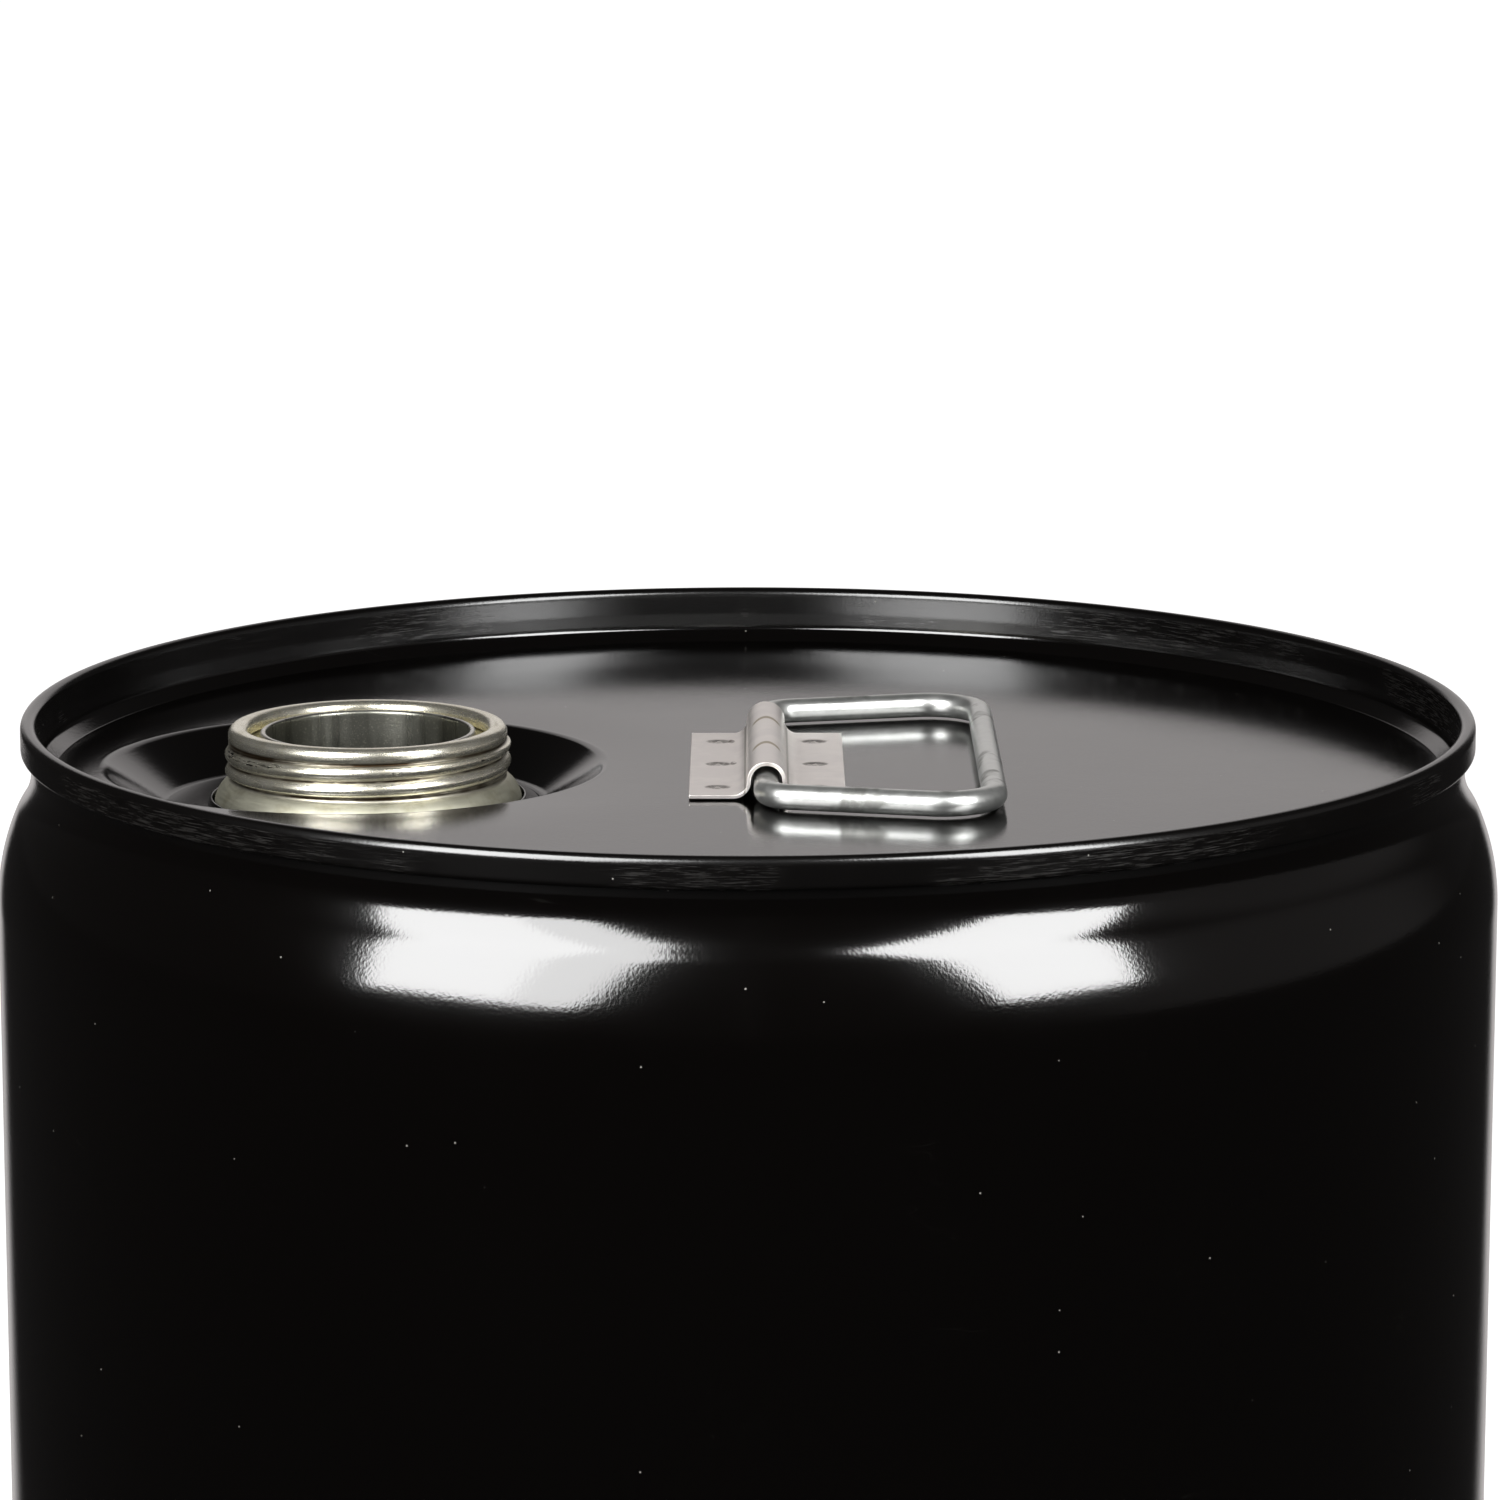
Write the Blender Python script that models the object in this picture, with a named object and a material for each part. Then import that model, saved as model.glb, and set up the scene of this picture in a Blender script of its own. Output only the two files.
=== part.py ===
"""A five-gallon tight-head steel drum with a screw neck and a swinging wire handle.

The drum stands on z = 0 with its axis on Z. The neck lies towards -X and the handle
towards +X. Sizes below are in millimetres, and MM turns them into metres. A name that
ends in _BELOW is measured down from the top of the upper seam.
"""

import math

import bpy

MM = 0.001

# The drum
HEIGHT = 340.0
BODY_RADIUS = 144.3
SHEET = 0.45
HALF_SHEET = SHEET / 2
GAP = 0.3
ROUND_STEPS = 40

# The double seams: five layers of sheet, one FOLD_PITCH apart
SEAM_HEIGHT = 6.0
FOLD_PITCH = 0.65
FOLD_STEPS = 3
TOP_CHUCK_RADIUS = 136.65
BOTTOM_CHUCK_RADIUS = BODY_RADIUS - HALF_SHEET - FOLD_PITCH
HOOK_TIP_DROP = 1.1
BODY_HOOK_CLEARANCE = 0.1
COMPOUND_WIDTH = 0.4
COMPOUND_TOP_DROP = 0.1
COMPOUND_HEIGHT = 0.75

# The shoulder, from the neck-in under the upper seam to the straight wall
NECK_IN_BELOW = 9.6
SHOULDER_SLOPE = 34.5
SHOULDER_BREAK = 23.5
SHOULDER_HOLLOW = 12.6
SHOULDER_UPPER = 12.5
SHOULDER_LOWER = 41.0

# The top head
FLOOR_BELOW = 11.0
CHUCK_DRAFT = 5.0
CHUCK_DRAFT_BELOW = 5.0
STEP_BELOW = 8.3
STEP_BEND = 1.4
STEP_SLOPE = 50.0
HEAD_FILLET = 0.9
RECESS_CENTRE = (-76.0, 1.5)
RECESS_RADIUS = 49.4
RECESS_DEPTH = 8.0
RECESS_SLOPE = 35.0
RECESS_ROUND = 3.0
RECESS_FLAT_RADIUS = 33.0
COLLAR_RADIUS = 30.3
COLLAR_ROUND = 0.7
COLLAR_HEIGHT = 1.8

# The bottom head
COUNTERSINK = 8.0
BOTTOM_FILLET = 2.5
PANEL_RADIUS = 104.0
PANEL_SLOPE_WIDTH = 6.0
PANEL_RISE = 1.2

# The screw neck
NECK_CENTRE = (-73.4, 1.5)
NECK_SHEET = 0.4
NECK_STEPS = 24
NECK_TOP_BELOW = 3.6
NECK_BASE_RADIUS = 29.5
FLARE_ROUND = 5.5
FLARE_HOLLOW = 1.0
FLANGE_RADIUS = 35.0
FLANGE_ROUND = 0.8
BEAD_OUTER = 26.9
BEAD_INNER = 23.1
BEAD_ROUND = 1.45
BEAD_STEP_HEIGHT = 0.4
BEAD_LIP = 1.2
THREAD_ROOT = 26.6
THREAD_LIFT = 1.0
THREAD_PITCH = 3.3
THREAD_TOP_BELOW = 6.5
THREAD_BOTTOM_BELOW = 13.3
THREAD_CREST_BELOW = 9.2
THREAD_ROWS = 14
THREAD_FADE = 0.8
THREAD_FULLNESS = 0.6

# The gasket, the inner sleeve, and the sealing ring between the sleeve and the bead
GASKET_INNER = 31.5
GASKET_OUTER = 34.5
GASKET_THICKNESS = 0.6
SLEEVE_BORE = 19.6
SLEEVE_TOP_BELOW = 4.7
SLEEVE_CURL = 0.4
SLEEVE_LIP = 0.8
SLEEVE_FLARE_RADIUS = 33.5
SLEEVE_FLARE_ROUND = 2.0
SEAL_INNER = 20.4
SEAL_OUTER = 25.6
SEAL_TOP_BELOW = 7.0
SEAL_THICKNESS = 2.0

# The handle's bracket, a strap bent over the wire
BRACKET_SHEET = 0.75
BRACKET_LEFT = -11.1
BRACKET_RIGHT = 18.4
BRACKET_NEAR = -36.7
BRACKET_FAR = 25.1
BRACKET_BEND = 2.9
HUMP_HALF_WIDTH = 3.7
HUMP_HEIGHT = 7.05

# The handle, a closed loop of wire that lies flat on the head
PIVOT_X = 3.5
HANDLE_Y = -3.5
WIRE_RADIUS = 2.4
HANDLE_REACH = 42.5
PIVOT_HALF_LENGTH = 42.1
LEG_SPLAY = 13.3
PIVOT_BEND = 6.5
END_BEND = 10.0
BEND_STEPS = 4

FLOOR = HEIGHT - FLOOR_BELOW
FLANGE_HEIGHT = FLOOR - RECESS_DEPTH - SHEET - 2 * GAP - GASKET_THICKNESS - NECK_SHEET / 2
PIVOT_HEIGHT = FLOOR + GAP + WIRE_RADIUS
AXIS = (0.0, 0.0)


# ---- Profiles -------------------------------------------------------------------

class Profile:
    """A path of (radius, height, centre) points, drawn with lines and tangent arcs."""

    def __init__(self, radius, height, heading, centre=AXIS):
        self.radius = radius
        self.height = height
        self.heading = heading
        self.centre = centre
        self.points = [(radius, height, centre)]

    def go_to(self, radius, height):
        self.radius = radius
        self.height = height
        self.points.append((radius, height, self.centre))

    def line(self, length):
        angle = math.radians(self.heading)
        self.go_to(self.radius + length * math.cos(angle), self.height + length * math.sin(angle))

    def line_to_height(self, height):
        self.line((height - self.height) / math.sin(math.radians(self.heading)))

    def line_to_radius(self, radius):
        self.line((radius - self.radius) / math.cos(math.radians(self.heading)))

    def arc(self, bend, turn, steps):
        """Turn by turn degrees, left when positive, on a circle of radius bend."""
        outward = math.radians(self.heading - math.copysign(90.0, turn))
        centre_radius = self.radius - bend * math.cos(outward)
        centre_height = self.height - bend * math.sin(outward)
        for step in range(1, steps + 1):
            angle = outward + math.radians(turn * step / steps)
            self.go_to(centre_radius + bend * math.cos(angle), centre_height + bend * math.sin(angle))
        self.heading += turn

    def recentre(self, radius, centre):
        """Go on around another axis, across a flat at the same height."""
        self.centre = centre
        self.go_to(radius, self.height)


def direction(start, end):
    """The unit vector from one profile point to the next; a flat runs inwards."""
    if start[2] != end[2]:
        return (-1.0, 0.0)
    across = end[0] - start[0]
    up = end[1] - start[1]
    length = math.hypot(across, up)
    return (across / length, up / length)


def sheet_outline(points, thickness):
    """The closed outline of a sheet whose middle follows the points."""
    runs = [direction(start, end) for start, end in zip(points, points[1:])]
    left = []
    right = []
    for (radius, height, centre), before, after in zip(points, runs[:1] + runs, runs + runs[-1:]):
        normal = (-before[1] - after[1], before[0] + after[0])
        reach = thickness / (normal[0] ** 2 + normal[1] ** 2)
        left.append((radius + normal[0] * reach, height + normal[1] * reach, centre))
        right.append((radius - normal[0] * reach, height - normal[1] * reach, centre))
    return left + right[::-1]


def ring_outline(inner, outer, bottom, top, centre=AXIS):
    corners = ((outer, bottom), (outer, top), (inner, top), (inner, bottom))
    return [(radius, height, centre) for radius, height in corners]


# ---- Meshes ---------------------------------------------------------------------

def signed_volume(vertices, faces):
    """Positive when the faces of a closed mesh point out."""
    total = 0.0
    for face in faces:
        ax, ay, az = vertices[face[0]]
        for second, third in zip(face[1:-1], face[2:]):
            bx, by, bz = vertices[second]
            cx, cy, cz = vertices[third]
            total += ax * (by * cz - bz * cy) + ay * (bz * cx - bx * cz) + az * (bx * cy - by * cx)
    return total / 6.0


def make_object(name, vertices, faces, material):
    """Build an object from vertices in millimetres, with its faces pointing out."""
    if signed_volume(vertices, faces) < 0.0:
        faces = [face[::-1] for face in faces]
    mesh = bpy.data.meshes.new(name)
    mesh.from_pydata([(x * MM, y * MM, z * MM) for x, y, z in vertices], [], faces)
    mesh.materials.append(material)
    mesh.shade_smooth()
    mesh.set_sharp_from_angle(angle=math.radians(35.0))
    made = bpy.data.objects.new(name, mesh)
    bpy.context.scene.collection.objects.link(made)
    return made


def turn(name, outline, material, steps=ROUND_STEPS, lift=None):
    """Turn a closed outline about its axis. A point on the axis becomes one vertex.

    lift(angle, height) is added to each radius, and so presses a thread into a sheet.
    """
    vertices = []
    rings = []
    for radius, height, centre in outline:
        first = len(vertices)
        if abs(radius) < MM:
            vertices.append((centre[0], centre[1], height))
            rings.append([first] * steps)
            continue
        for step in range(steps):
            angle = 2.0 * math.pi * step / steps
            reach = radius + (lift(angle, height) if lift else 0.0)
            vertices.append((centre[0] + reach * math.cos(angle), centre[1] + reach * math.sin(angle), height))
        rings.append(list(range(first, first + steps)))
    faces = []
    for ring, next_ring in zip(rings, rings[1:] + rings[:1]):
        for step in range(steps):
            after = (step + 1) % steps
            corners = [ring[step], ring[after], next_ring[after], next_ring[step]]
            face = [corner for index, corner in enumerate(corners) if corner != corners[index - 1]]
            if len(face) > 2:
                faces.append(face)
    return make_object(name, vertices, faces, material)


def extrude(name, outline, near, far, material):
    """Extrude a sheet's outline, drawn in X and Z, from near to far along Y."""
    count = len(outline)
    vertices = [(x, y, z) for y in (near, far) for x, z, _ in outline]
    faces = []
    for index in range(count):
        after = (index + 1) % count
        faces.append([index, after, after + count, index + count])
    for index in range(count // 2 - 1):
        cap = [index, index + 1, count - 2 - index, count - 1 - index]
        faces.append(cap[::-1])
        faces.append([corner + count for corner in cap])
    return make_object(name, vertices, faces, material)


# ---- Materials ------------------------------------------------------------------

def make_material(name, colour, roughness, metallic):
    material = bpy.data.materials.new(name)
    material.use_nodes = True
    shader = material.node_tree.nodes["Principled BSDF"]
    shader.inputs["Base Color"].default_value = (*colour, 1.0)
    shader.inputs["Roughness"].default_value = roughness
    shader.inputs["Metallic"].default_value = metallic
    return material


# ---- The shell ------------------------------------------------------------------

def fold_height(side):
    """The height that a seam's outer folds are centred on. side is 1 at the top, -1 below."""
    inset = HALF_SHEET + 2 * FOLD_PITCH * math.cos(math.radians(90.0 / FOLD_STEPS))
    return HEIGHT - inset if side > 0 else inset


def tuck_height(side):
    """The height that a cover's inner fold, at the seam's other edge, is centred on."""
    inset = SEAM_HEIGHT - HALF_SHEET - FOLD_PITCH * math.cos(math.radians(90.0 / FOLD_STEPS))
    return HEIGHT - inset if side > 0 else inset


def cover_seam(chuck_radius, side):
    """A head's share of its seam, from the tip of its hook to the top of its chuck wall."""
    path = Profile(chuck_radius + 2 * FOLD_PITCH, fold_height(side) - side * HOOK_TIP_DROP, -90.0 * side)
    path.line_to_height(tuck_height(side))
    path.arc(FOLD_PITCH, 180.0 * side, FOLD_STEPS)
    path.line_to_height(fold_height(side))
    path.arc(2 * FOLD_PITCH, 180.0 * side, FOLD_STEPS)
    return path


def build_body_shell(material):
    """The side wall, with a hook turned outwards at each end for the double seams."""
    wall = Profile(TOP_CHUCK_RADIUS + 3 * FOLD_PITCH, tuck_height(1) + BODY_HOOK_CLEARANCE, 90.0)
    wall.line_to_height(fold_height(1))
    wall.arc(FOLD_PITCH, 180.0, FOLD_STEPS)
    wall.line_to_height(HEIGHT - NECK_IN_BELOW)
    wall.arc(SHOULDER_HOLLOW + HALF_SHEET, SHOULDER_SLOPE, 3)
    wall.arc(SHOULDER_UPPER - HALF_SHEET, SHOULDER_BREAK - SHOULDER_SLOPE, 1)
    wall.arc(SHOULDER_LOWER - HALF_SHEET, -SHOULDER_BREAK, 3)
    wall.go_to(BODY_RADIUS - HALF_SHEET, fold_height(-1))
    wall.arc(FOLD_PITCH, 180.0, FOLD_STEPS)
    wall.line_to_height(tuck_height(-1) - BODY_HOOK_CLEARANCE)
    return turn("body_shell", sheet_outline(wall.points, SHEET), material)


def build_top_head(material):
    """The dished top, with a recess that the neck stands in and a collar around its hole.

    Its chuck wall drafts inwards, and meets the floor in a steep step.
    """
    path = cover_seam(TOP_CHUCK_RADIUS, 1)
    path.line_to_height(HEIGHT - CHUCK_DRAFT_BELOW)
    path.heading -= CHUCK_DRAFT
    path.line_to_height(HEIGHT - STEP_BELOW)
    path.arc(STEP_BEND, CHUCK_DRAFT - STEP_SLOPE, 3)
    fillet_drop = HEAD_FILLET * (1.0 - math.sin(math.radians(STEP_SLOPE)))
    path.line_to_height(FLOOR - HALF_SHEET + fillet_drop)
    path.arc(HEAD_FILLET, STEP_SLOPE - 90.0, 2)
    path.recentre(RECESS_RADIUS, RECESS_CENTRE)
    path.arc(RECESS_ROUND, RECESS_SLOPE, 2)
    round_drop = RECESS_ROUND * (1.0 - math.cos(math.radians(RECESS_SLOPE)))
    path.line_to_height(FLOOR - HALF_SHEET - RECESS_DEPTH + round_drop)
    path.arc(RECESS_ROUND, -RECESS_SLOPE, 2)
    path.recentre(RECESS_FLAT_RADIUS, NECK_CENTRE)
    path.line_to_radius(COLLAR_RADIUS + COLLAR_ROUND)
    path.arc(COLLAR_ROUND, -90.0, 2)
    path.line(COLLAR_HEIGHT - COLLAR_ROUND)
    return turn("top_head", sheet_outline(path.points, SHEET), material)


def build_bottom_head(material):
    """The countersunk bottom, with a shallow raised panel that stiffens it."""
    path = cover_seam(BOTTOM_CHUCK_RADIUS, -1)
    path.line_to_height(COUNTERSINK + HALF_SHEET - BOTTOM_FILLET)
    path.arc(BOTTOM_FILLET, 90.0, 3)
    path.line_to_radius(PANEL_RADIUS)
    path.go_to(PANEL_RADIUS - PANEL_SLOPE_WIDTH, path.height + PANEL_RISE)
    path.line_to_radius(0.0)
    return turn("bottom_head", sheet_outline(path.points, SHEET), material)


def build_compound(name, chuck_radius, side, material):
    """The ring of sealing compound held inside a seam, beyond the cover's hook."""
    middle = chuck_radius + 2 * FOLD_PITCH
    outer_end = fold_height(side) - side * COMPOUND_TOP_DROP
    inner_end = outer_end - side * COMPOUND_HEIGHT
    bottom = min(outer_end, inner_end)
    top = max(outer_end, inner_end)
    outline = ring_outline(middle - COMPOUND_WIDTH / 2, middle + COMPOUND_WIDTH / 2, bottom, top)
    return turn(name, outline, material)


# ---- The neck -------------------------------------------------------------------

def thread_lift(angle, height):
    """How far the pressed, right-handed thread stands out of the neck's wall."""
    crest = HEIGHT - THREAD_CREST_BELOW + THREAD_PITCH * (angle / (2.0 * math.pi) - 0.5)
    wave = 0.5 + 0.5 * math.cos(2.0 * math.pi * (height - crest) / THREAD_PITCH)
    to_top = (HEIGHT - THREAD_TOP_BELOW - height) / THREAD_FADE
    to_bottom = (height - HEIGHT + THREAD_BOTTOM_BELOW) / THREAD_FADE
    fade = max(0.0, min(1.0, to_top, to_bottom))
    return THREAD_LIFT * wave ** THREAD_FULLNESS * fade


def build_screw_neck(material):
    """The threaded neck: a flange under the head, a flare, the thread and a rolled bead."""
    half = NECK_SHEET / 2
    root = THREAD_ROOT - half
    path = Profile(FLANGE_RADIUS, FLANGE_HEIGHT, 180.0, NECK_CENTRE)
    path.line_to_radius(NECK_BASE_RADIUS + FLANGE_ROUND)
    path.arc(FLANGE_ROUND, -90.0, 2)
    flare_turn = math.degrees(math.acos(1.0 - (NECK_BASE_RADIUS - root) / (FLARE_ROUND + FLARE_HOLLOW)))
    flare_height = (FLARE_ROUND + FLARE_HOLLOW) * math.sin(math.radians(flare_turn))
    path.line_to_height(HEIGHT - THREAD_BOTTOM_BELOW - flare_height)
    path.arc(FLARE_ROUND, flare_turn, 3)
    path.arc(FLARE_HOLLOW, -flare_turn, 2)
    row = (THREAD_BOTTOM_BELOW - THREAD_TOP_BELOW) / THREAD_ROWS
    for _ in range(THREAD_ROWS):
        path.line(row)
    path.go_to(BEAD_OUTER - half, path.height + BEAD_STEP_HEIGHT)
    path.line_to_height(HEIGHT - NECK_TOP_BELOW - half - BEAD_ROUND)
    path.arc(BEAD_ROUND, 90.0, 2)
    path.line_to_radius(BEAD_INNER + half + BEAD_ROUND)
    path.arc(BEAD_ROUND, 90.0, 2)
    path.line(BEAD_LIP)
    return turn("screw_neck", sheet_outline(path.points, NECK_SHEET), material, NECK_STEPS, thread_lift)


def build_neck_sleeve(material):
    """The smooth tube inside the neck, flared under it and curled outwards at its mouth."""
    half = NECK_SHEET / 2
    path = Profile(SLEEVE_FLARE_RADIUS, FLANGE_HEIGHT - NECK_SHEET - GAP, 180.0, NECK_CENTRE)
    path.line_to_radius(SLEEVE_BORE + half + SLEEVE_FLARE_ROUND)
    path.arc(SLEEVE_FLARE_ROUND, -90.0, 2)
    path.line_to_height(HEIGHT - SLEEVE_TOP_BELOW - half - SLEEVE_CURL)
    path.arc(SLEEVE_CURL, -180.0, 3)
    path.line(SLEEVE_LIP)
    return turn("neck_sleeve", sheet_outline(path.points, NECK_SHEET), material, NECK_STEPS)


def build_neck_gasket(material):
    """The flat gasket between the head and the neck's flange."""
    top = FLOOR - RECESS_DEPTH - SHEET - GAP
    outline = ring_outline(GASKET_INNER, GASKET_OUTER, top - GASKET_THICKNESS, top, NECK_CENTRE)
    return turn("neck_gasket", outline, material, NECK_STEPS)


def build_neck_channel_seal(material):
    """The ring that fills the channel between the sleeve and the bead."""
    top = HEIGHT - SEAL_TOP_BELOW
    outline = ring_outline(SEAL_INNER, SEAL_OUTER, top - SEAL_THICKNESS, top, NECK_CENTRE)
    return turn("neck_channel_seal", outline, material, NECK_STEPS)


# ---- The handle -----------------------------------------------------------------

def build_handle_bracket(material):
    """The strap welded to the head, with a hump that the handle's wire turns in."""
    half = BRACKET_SHEET / 2
    hump = HUMP_HALF_WIDTH - half
    base = FLOOR + GAP + half
    path = Profile(BRACKET_LEFT, base, 0.0)
    path.line_to_radius(PIVOT_X - hump - BRACKET_BEND)
    path.arc(BRACKET_BEND, 90.0, 3)
    path.line_to_height(FLOOR + GAP + HUMP_HEIGHT - HUMP_HALF_WIDTH)
    path.arc(hump, -180.0, 6)
    path.line_to_height(base + BRACKET_BEND)
    path.arc(BRACKET_BEND, 90.0, 3)
    path.line_to_radius(BRACKET_RIGHT)
    outline = sheet_outline(path.points, BRACKET_SHEET)
    return extrude("handle_bracket", outline, BRACKET_NEAR, BRACKET_FAR, material)


def handle_centreline():
    """The loop's centreline about the middle of its pivot, as X and Y."""
    end_turn = 90.0 + LEG_SPLAY
    pivot_turn = 90.0 - LEG_SPLAY
    pivot_tangent = PIVOT_BEND * math.tan(math.radians(pivot_turn / 2))
    end_tangent = END_BEND * math.tan(math.radians(end_turn / 2))
    leg = HANDLE_REACH / math.cos(math.radians(LEG_SPLAY)) - pivot_tangent - end_tangent
    path = Profile(0.0, 0.0, 90.0)
    path.line(PIVOT_HALF_LENGTH - pivot_tangent)
    path.arc(PIVOT_BEND, -pivot_turn, BEND_STEPS)
    path.line(leg)
    path.arc(END_BEND, -end_turn, BEND_STEPS)
    far_half = [(x, y) for x, y, _ in path.points[1:]]
    near_half = [(x, -y) for x, y in far_half[::-1]]
    return far_half + near_half


def build_handle(material):
    """The wire loop, with its origin on the axis that it turns about."""
    points = handle_centreline()
    curve = bpy.data.curves.new("handle", "CURVE")
    curve.dimensions = "3D"
    curve.bevel_depth = WIRE_RADIUS * MM
    curve.bevel_resolution = 2
    spline = curve.splines.new("POLY")
    spline.points.add(len(points) - 1)
    for spline_point, (x, y) in zip(spline.points, points):
        spline_point.co = (x * MM, y * MM, 0.0, 1.0)
    spline.use_cyclic_u = True
    curve.materials.append(material)
    made = bpy.data.objects.new("handle", curve)
    made.location = (PIVOT_X * MM, HANDLE_Y * MM, PIVOT_HEIGHT * MM)
    bpy.context.scene.collection.objects.link(made)
    return made


# ---- The whole drum -------------------------------------------------------------

def main():
    for leftover in list(bpy.data.objects):
        bpy.data.objects.remove(leftover)
    black_paint = make_material("black_paint", (0.008, 0.008, 0.009), 0.18, 0.0)
    tinplate = make_material("tinplate", (0.74, 0.72, 0.64), 0.3, 1.0)
    nickel = make_material("nickel", (0.72, 0.69, 0.66), 0.4, 1.0)
    zinc = make_material("zinc", (0.72, 0.75, 0.77), 0.2, 1.0)
    compound = make_material("compound", (0.12, 0.1, 0.07), 0.8, 0.0)
    rubber = make_material("rubber", (0.02, 0.02, 0.02), 0.7, 0.0)
    cream = make_material("cream", (0.7, 0.66, 0.45), 0.6, 0.0)

    build_body_shell(black_paint)
    build_top_head(black_paint)
    build_bottom_head(black_paint)
    build_compound("top_seam_compound", TOP_CHUCK_RADIUS, 1, compound)
    build_compound("bottom_seam_compound", BOTTOM_CHUCK_RADIUS, -1, compound)
    build_screw_neck(tinplate)
    build_neck_sleeve(tinplate)
    build_neck_gasket(rubber)
    build_neck_channel_seal(cream)
    build_handle_bracket(nickel)
    build_handle(zinc)


main()
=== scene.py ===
"""The looks of a small tight-head steel drum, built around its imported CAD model.

Lengths below are in millimetres, and MM turns them into metres. The places of the
drum, the neck, the bracket and the handle come from the frame's boxes. A name that ends
in _BELOW is measured down from the top of the upper seam.
"""

import math

import bpy
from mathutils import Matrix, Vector


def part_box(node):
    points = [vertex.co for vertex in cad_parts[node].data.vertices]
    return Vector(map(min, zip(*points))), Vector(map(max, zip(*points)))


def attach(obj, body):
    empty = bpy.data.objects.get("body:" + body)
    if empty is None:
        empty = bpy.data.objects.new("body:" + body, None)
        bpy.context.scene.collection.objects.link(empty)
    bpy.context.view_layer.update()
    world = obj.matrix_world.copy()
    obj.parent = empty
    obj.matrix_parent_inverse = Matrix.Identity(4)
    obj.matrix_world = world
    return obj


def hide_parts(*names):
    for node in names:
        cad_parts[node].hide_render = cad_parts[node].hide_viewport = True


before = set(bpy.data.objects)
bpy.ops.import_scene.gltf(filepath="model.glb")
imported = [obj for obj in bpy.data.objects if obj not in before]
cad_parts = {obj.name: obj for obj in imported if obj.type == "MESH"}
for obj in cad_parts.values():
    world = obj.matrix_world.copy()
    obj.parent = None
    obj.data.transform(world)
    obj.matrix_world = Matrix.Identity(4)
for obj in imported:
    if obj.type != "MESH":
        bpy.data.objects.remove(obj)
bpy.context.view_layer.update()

MM = 0.001
AXIS = (0.0, 0.0)


def box_mm(node):
    """The lowest and highest corner of a CAD node, in millimetres."""
    low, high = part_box(node)
    return low / MM, high / MM


def box_middle(node):
    """The middle of a CAD node's box, seen from above."""
    low, high = box_mm(node)
    return (low.x + high.x) / 2, (low.y + high.y) / 2


# The drum
HEIGHT = box_mm("top_head")[1].z
BODY_RADIUS = 144.3
SHEET = 0.45
HALF_SHEET = SHEET / 2
DRUM_STEPS = 360
ARC_STEP = 9.0
HOLD = 0.4

# The double seams
SEAM_HEIGHT = 6.0
FOLD_PITCH = 0.65
TOP_CHUCK_RADIUS = 136.65
BOTTOM_CHUCK_RADIUS = BODY_RADIUS - HALF_SHEET - FOLD_PITCH
HOOK_TIP_DROP = 1.1
BODY_HOOK_CLEARANCE = 0.1
FOLD_STEPS = 16
# The mitred corners of a fold's outline reach a little past its arc.
MITRE_ROOM = 0.002

# The shoulder, from the neck-in under the upper seam to the straight wall
NECK_IN_BELOW = 9.6
SHOULDER_SLOPE = 34.5
SHOULDER_BREAK = 23.5
SHOULDER_HOLLOW = 12.6
SHOULDER_UPPER = 12.5
SHOULDER_LOWER = 41.0
SHOULDER_ARC_STEP = 1.5
WALL_ROWS = 40

# The welded side seam, at the back
WELD_ANGLE = math.radians(97.0)
WELD_HALF_WIDTH = 2.2
WELD_LIFT = 0.18
WELD_STEPS = 16
WELD_END_FADE = 6.0
WELD_BOTTOM = 10.0
WELD_TOP_BELOW = 20.0

# The top head
FLOOR_BELOW = 11.0
CHUCK_DRAFT = 5.0
CHUCK_DRAFT_BELOW = 5.0
CHUCK_DRAFT_BEND = 12.0
STEP_BELOW = 8.3
STEP_BEND = 1.4
STEP_SLOPE = 50.0
HEAD_FILLET = 0.9
RECESS_CENTRE = (-76.0, 1.5)
RECESS_RADIUS = 49.4
RECESS_DEPTH = 8.0
RECESS_SLOPE = 35.0
RECESS_ROUND = 3.0
RECESS_FLAT_RADIUS = 33.0
APPROACH_ROWS = 16
APPROACH_WIDTH = 26.0
APPROACH_DROP = 0.38
APPROACH_END_RADIUS = 131.0
APPROACH_FADE = 8.0
COLLAR_RADIUS = 30.3
COLLAR_ROUND = 0.7
COLLAR_HEIGHT = 1.8

# The bottom head
COUNTERSINK = 8.0
BOTTOM_FILLET = 2.5
PANEL_RADIUS = 104.0
PANEL_SLOPE_WIDTH = 6.0
PANEL_RISE = 1.2
PANEL_ROUND = 8.0

# The screw neck
NECK_CENTRE = box_middle("neck_sleeve")
NECK_SHEET = 0.4
NECK_STEPS = 288
NECK_TOP_BELOW = HEIGHT - box_mm("screw_neck")[1].z
NECK_BASE_RADIUS = 29.5
FLARE_ROUND = 5.5
FLARE_HOLLOW = 1.0
FLANGE_RADIUS = 35.0
FLANGE_ROUND = 0.8
GASKET_THICKNESS = 0.6
GAP = 0.3
BEAD_OUTER = 26.9
BEAD_INNER = 23.1
BEAD_ROUND = 1.45
BEAD_STEP_HEIGHT = 0.4
BEAD_LIP = 1.2
THREAD_ROOT = 26.6
THREAD_LIFT = 1.0
THREAD_PITCH = 3.3
THREAD_TOP_BELOW = 6.5
THREAD_BOTTOM_BELOW = 13.3
THREAD_CREST_BELOW = 9.1
THREAD_ROWS = 84
THREAD_FADE = 0.8
THREAD_FULLNESS = 0.45
FLECK_BELOW = 7.9

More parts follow.
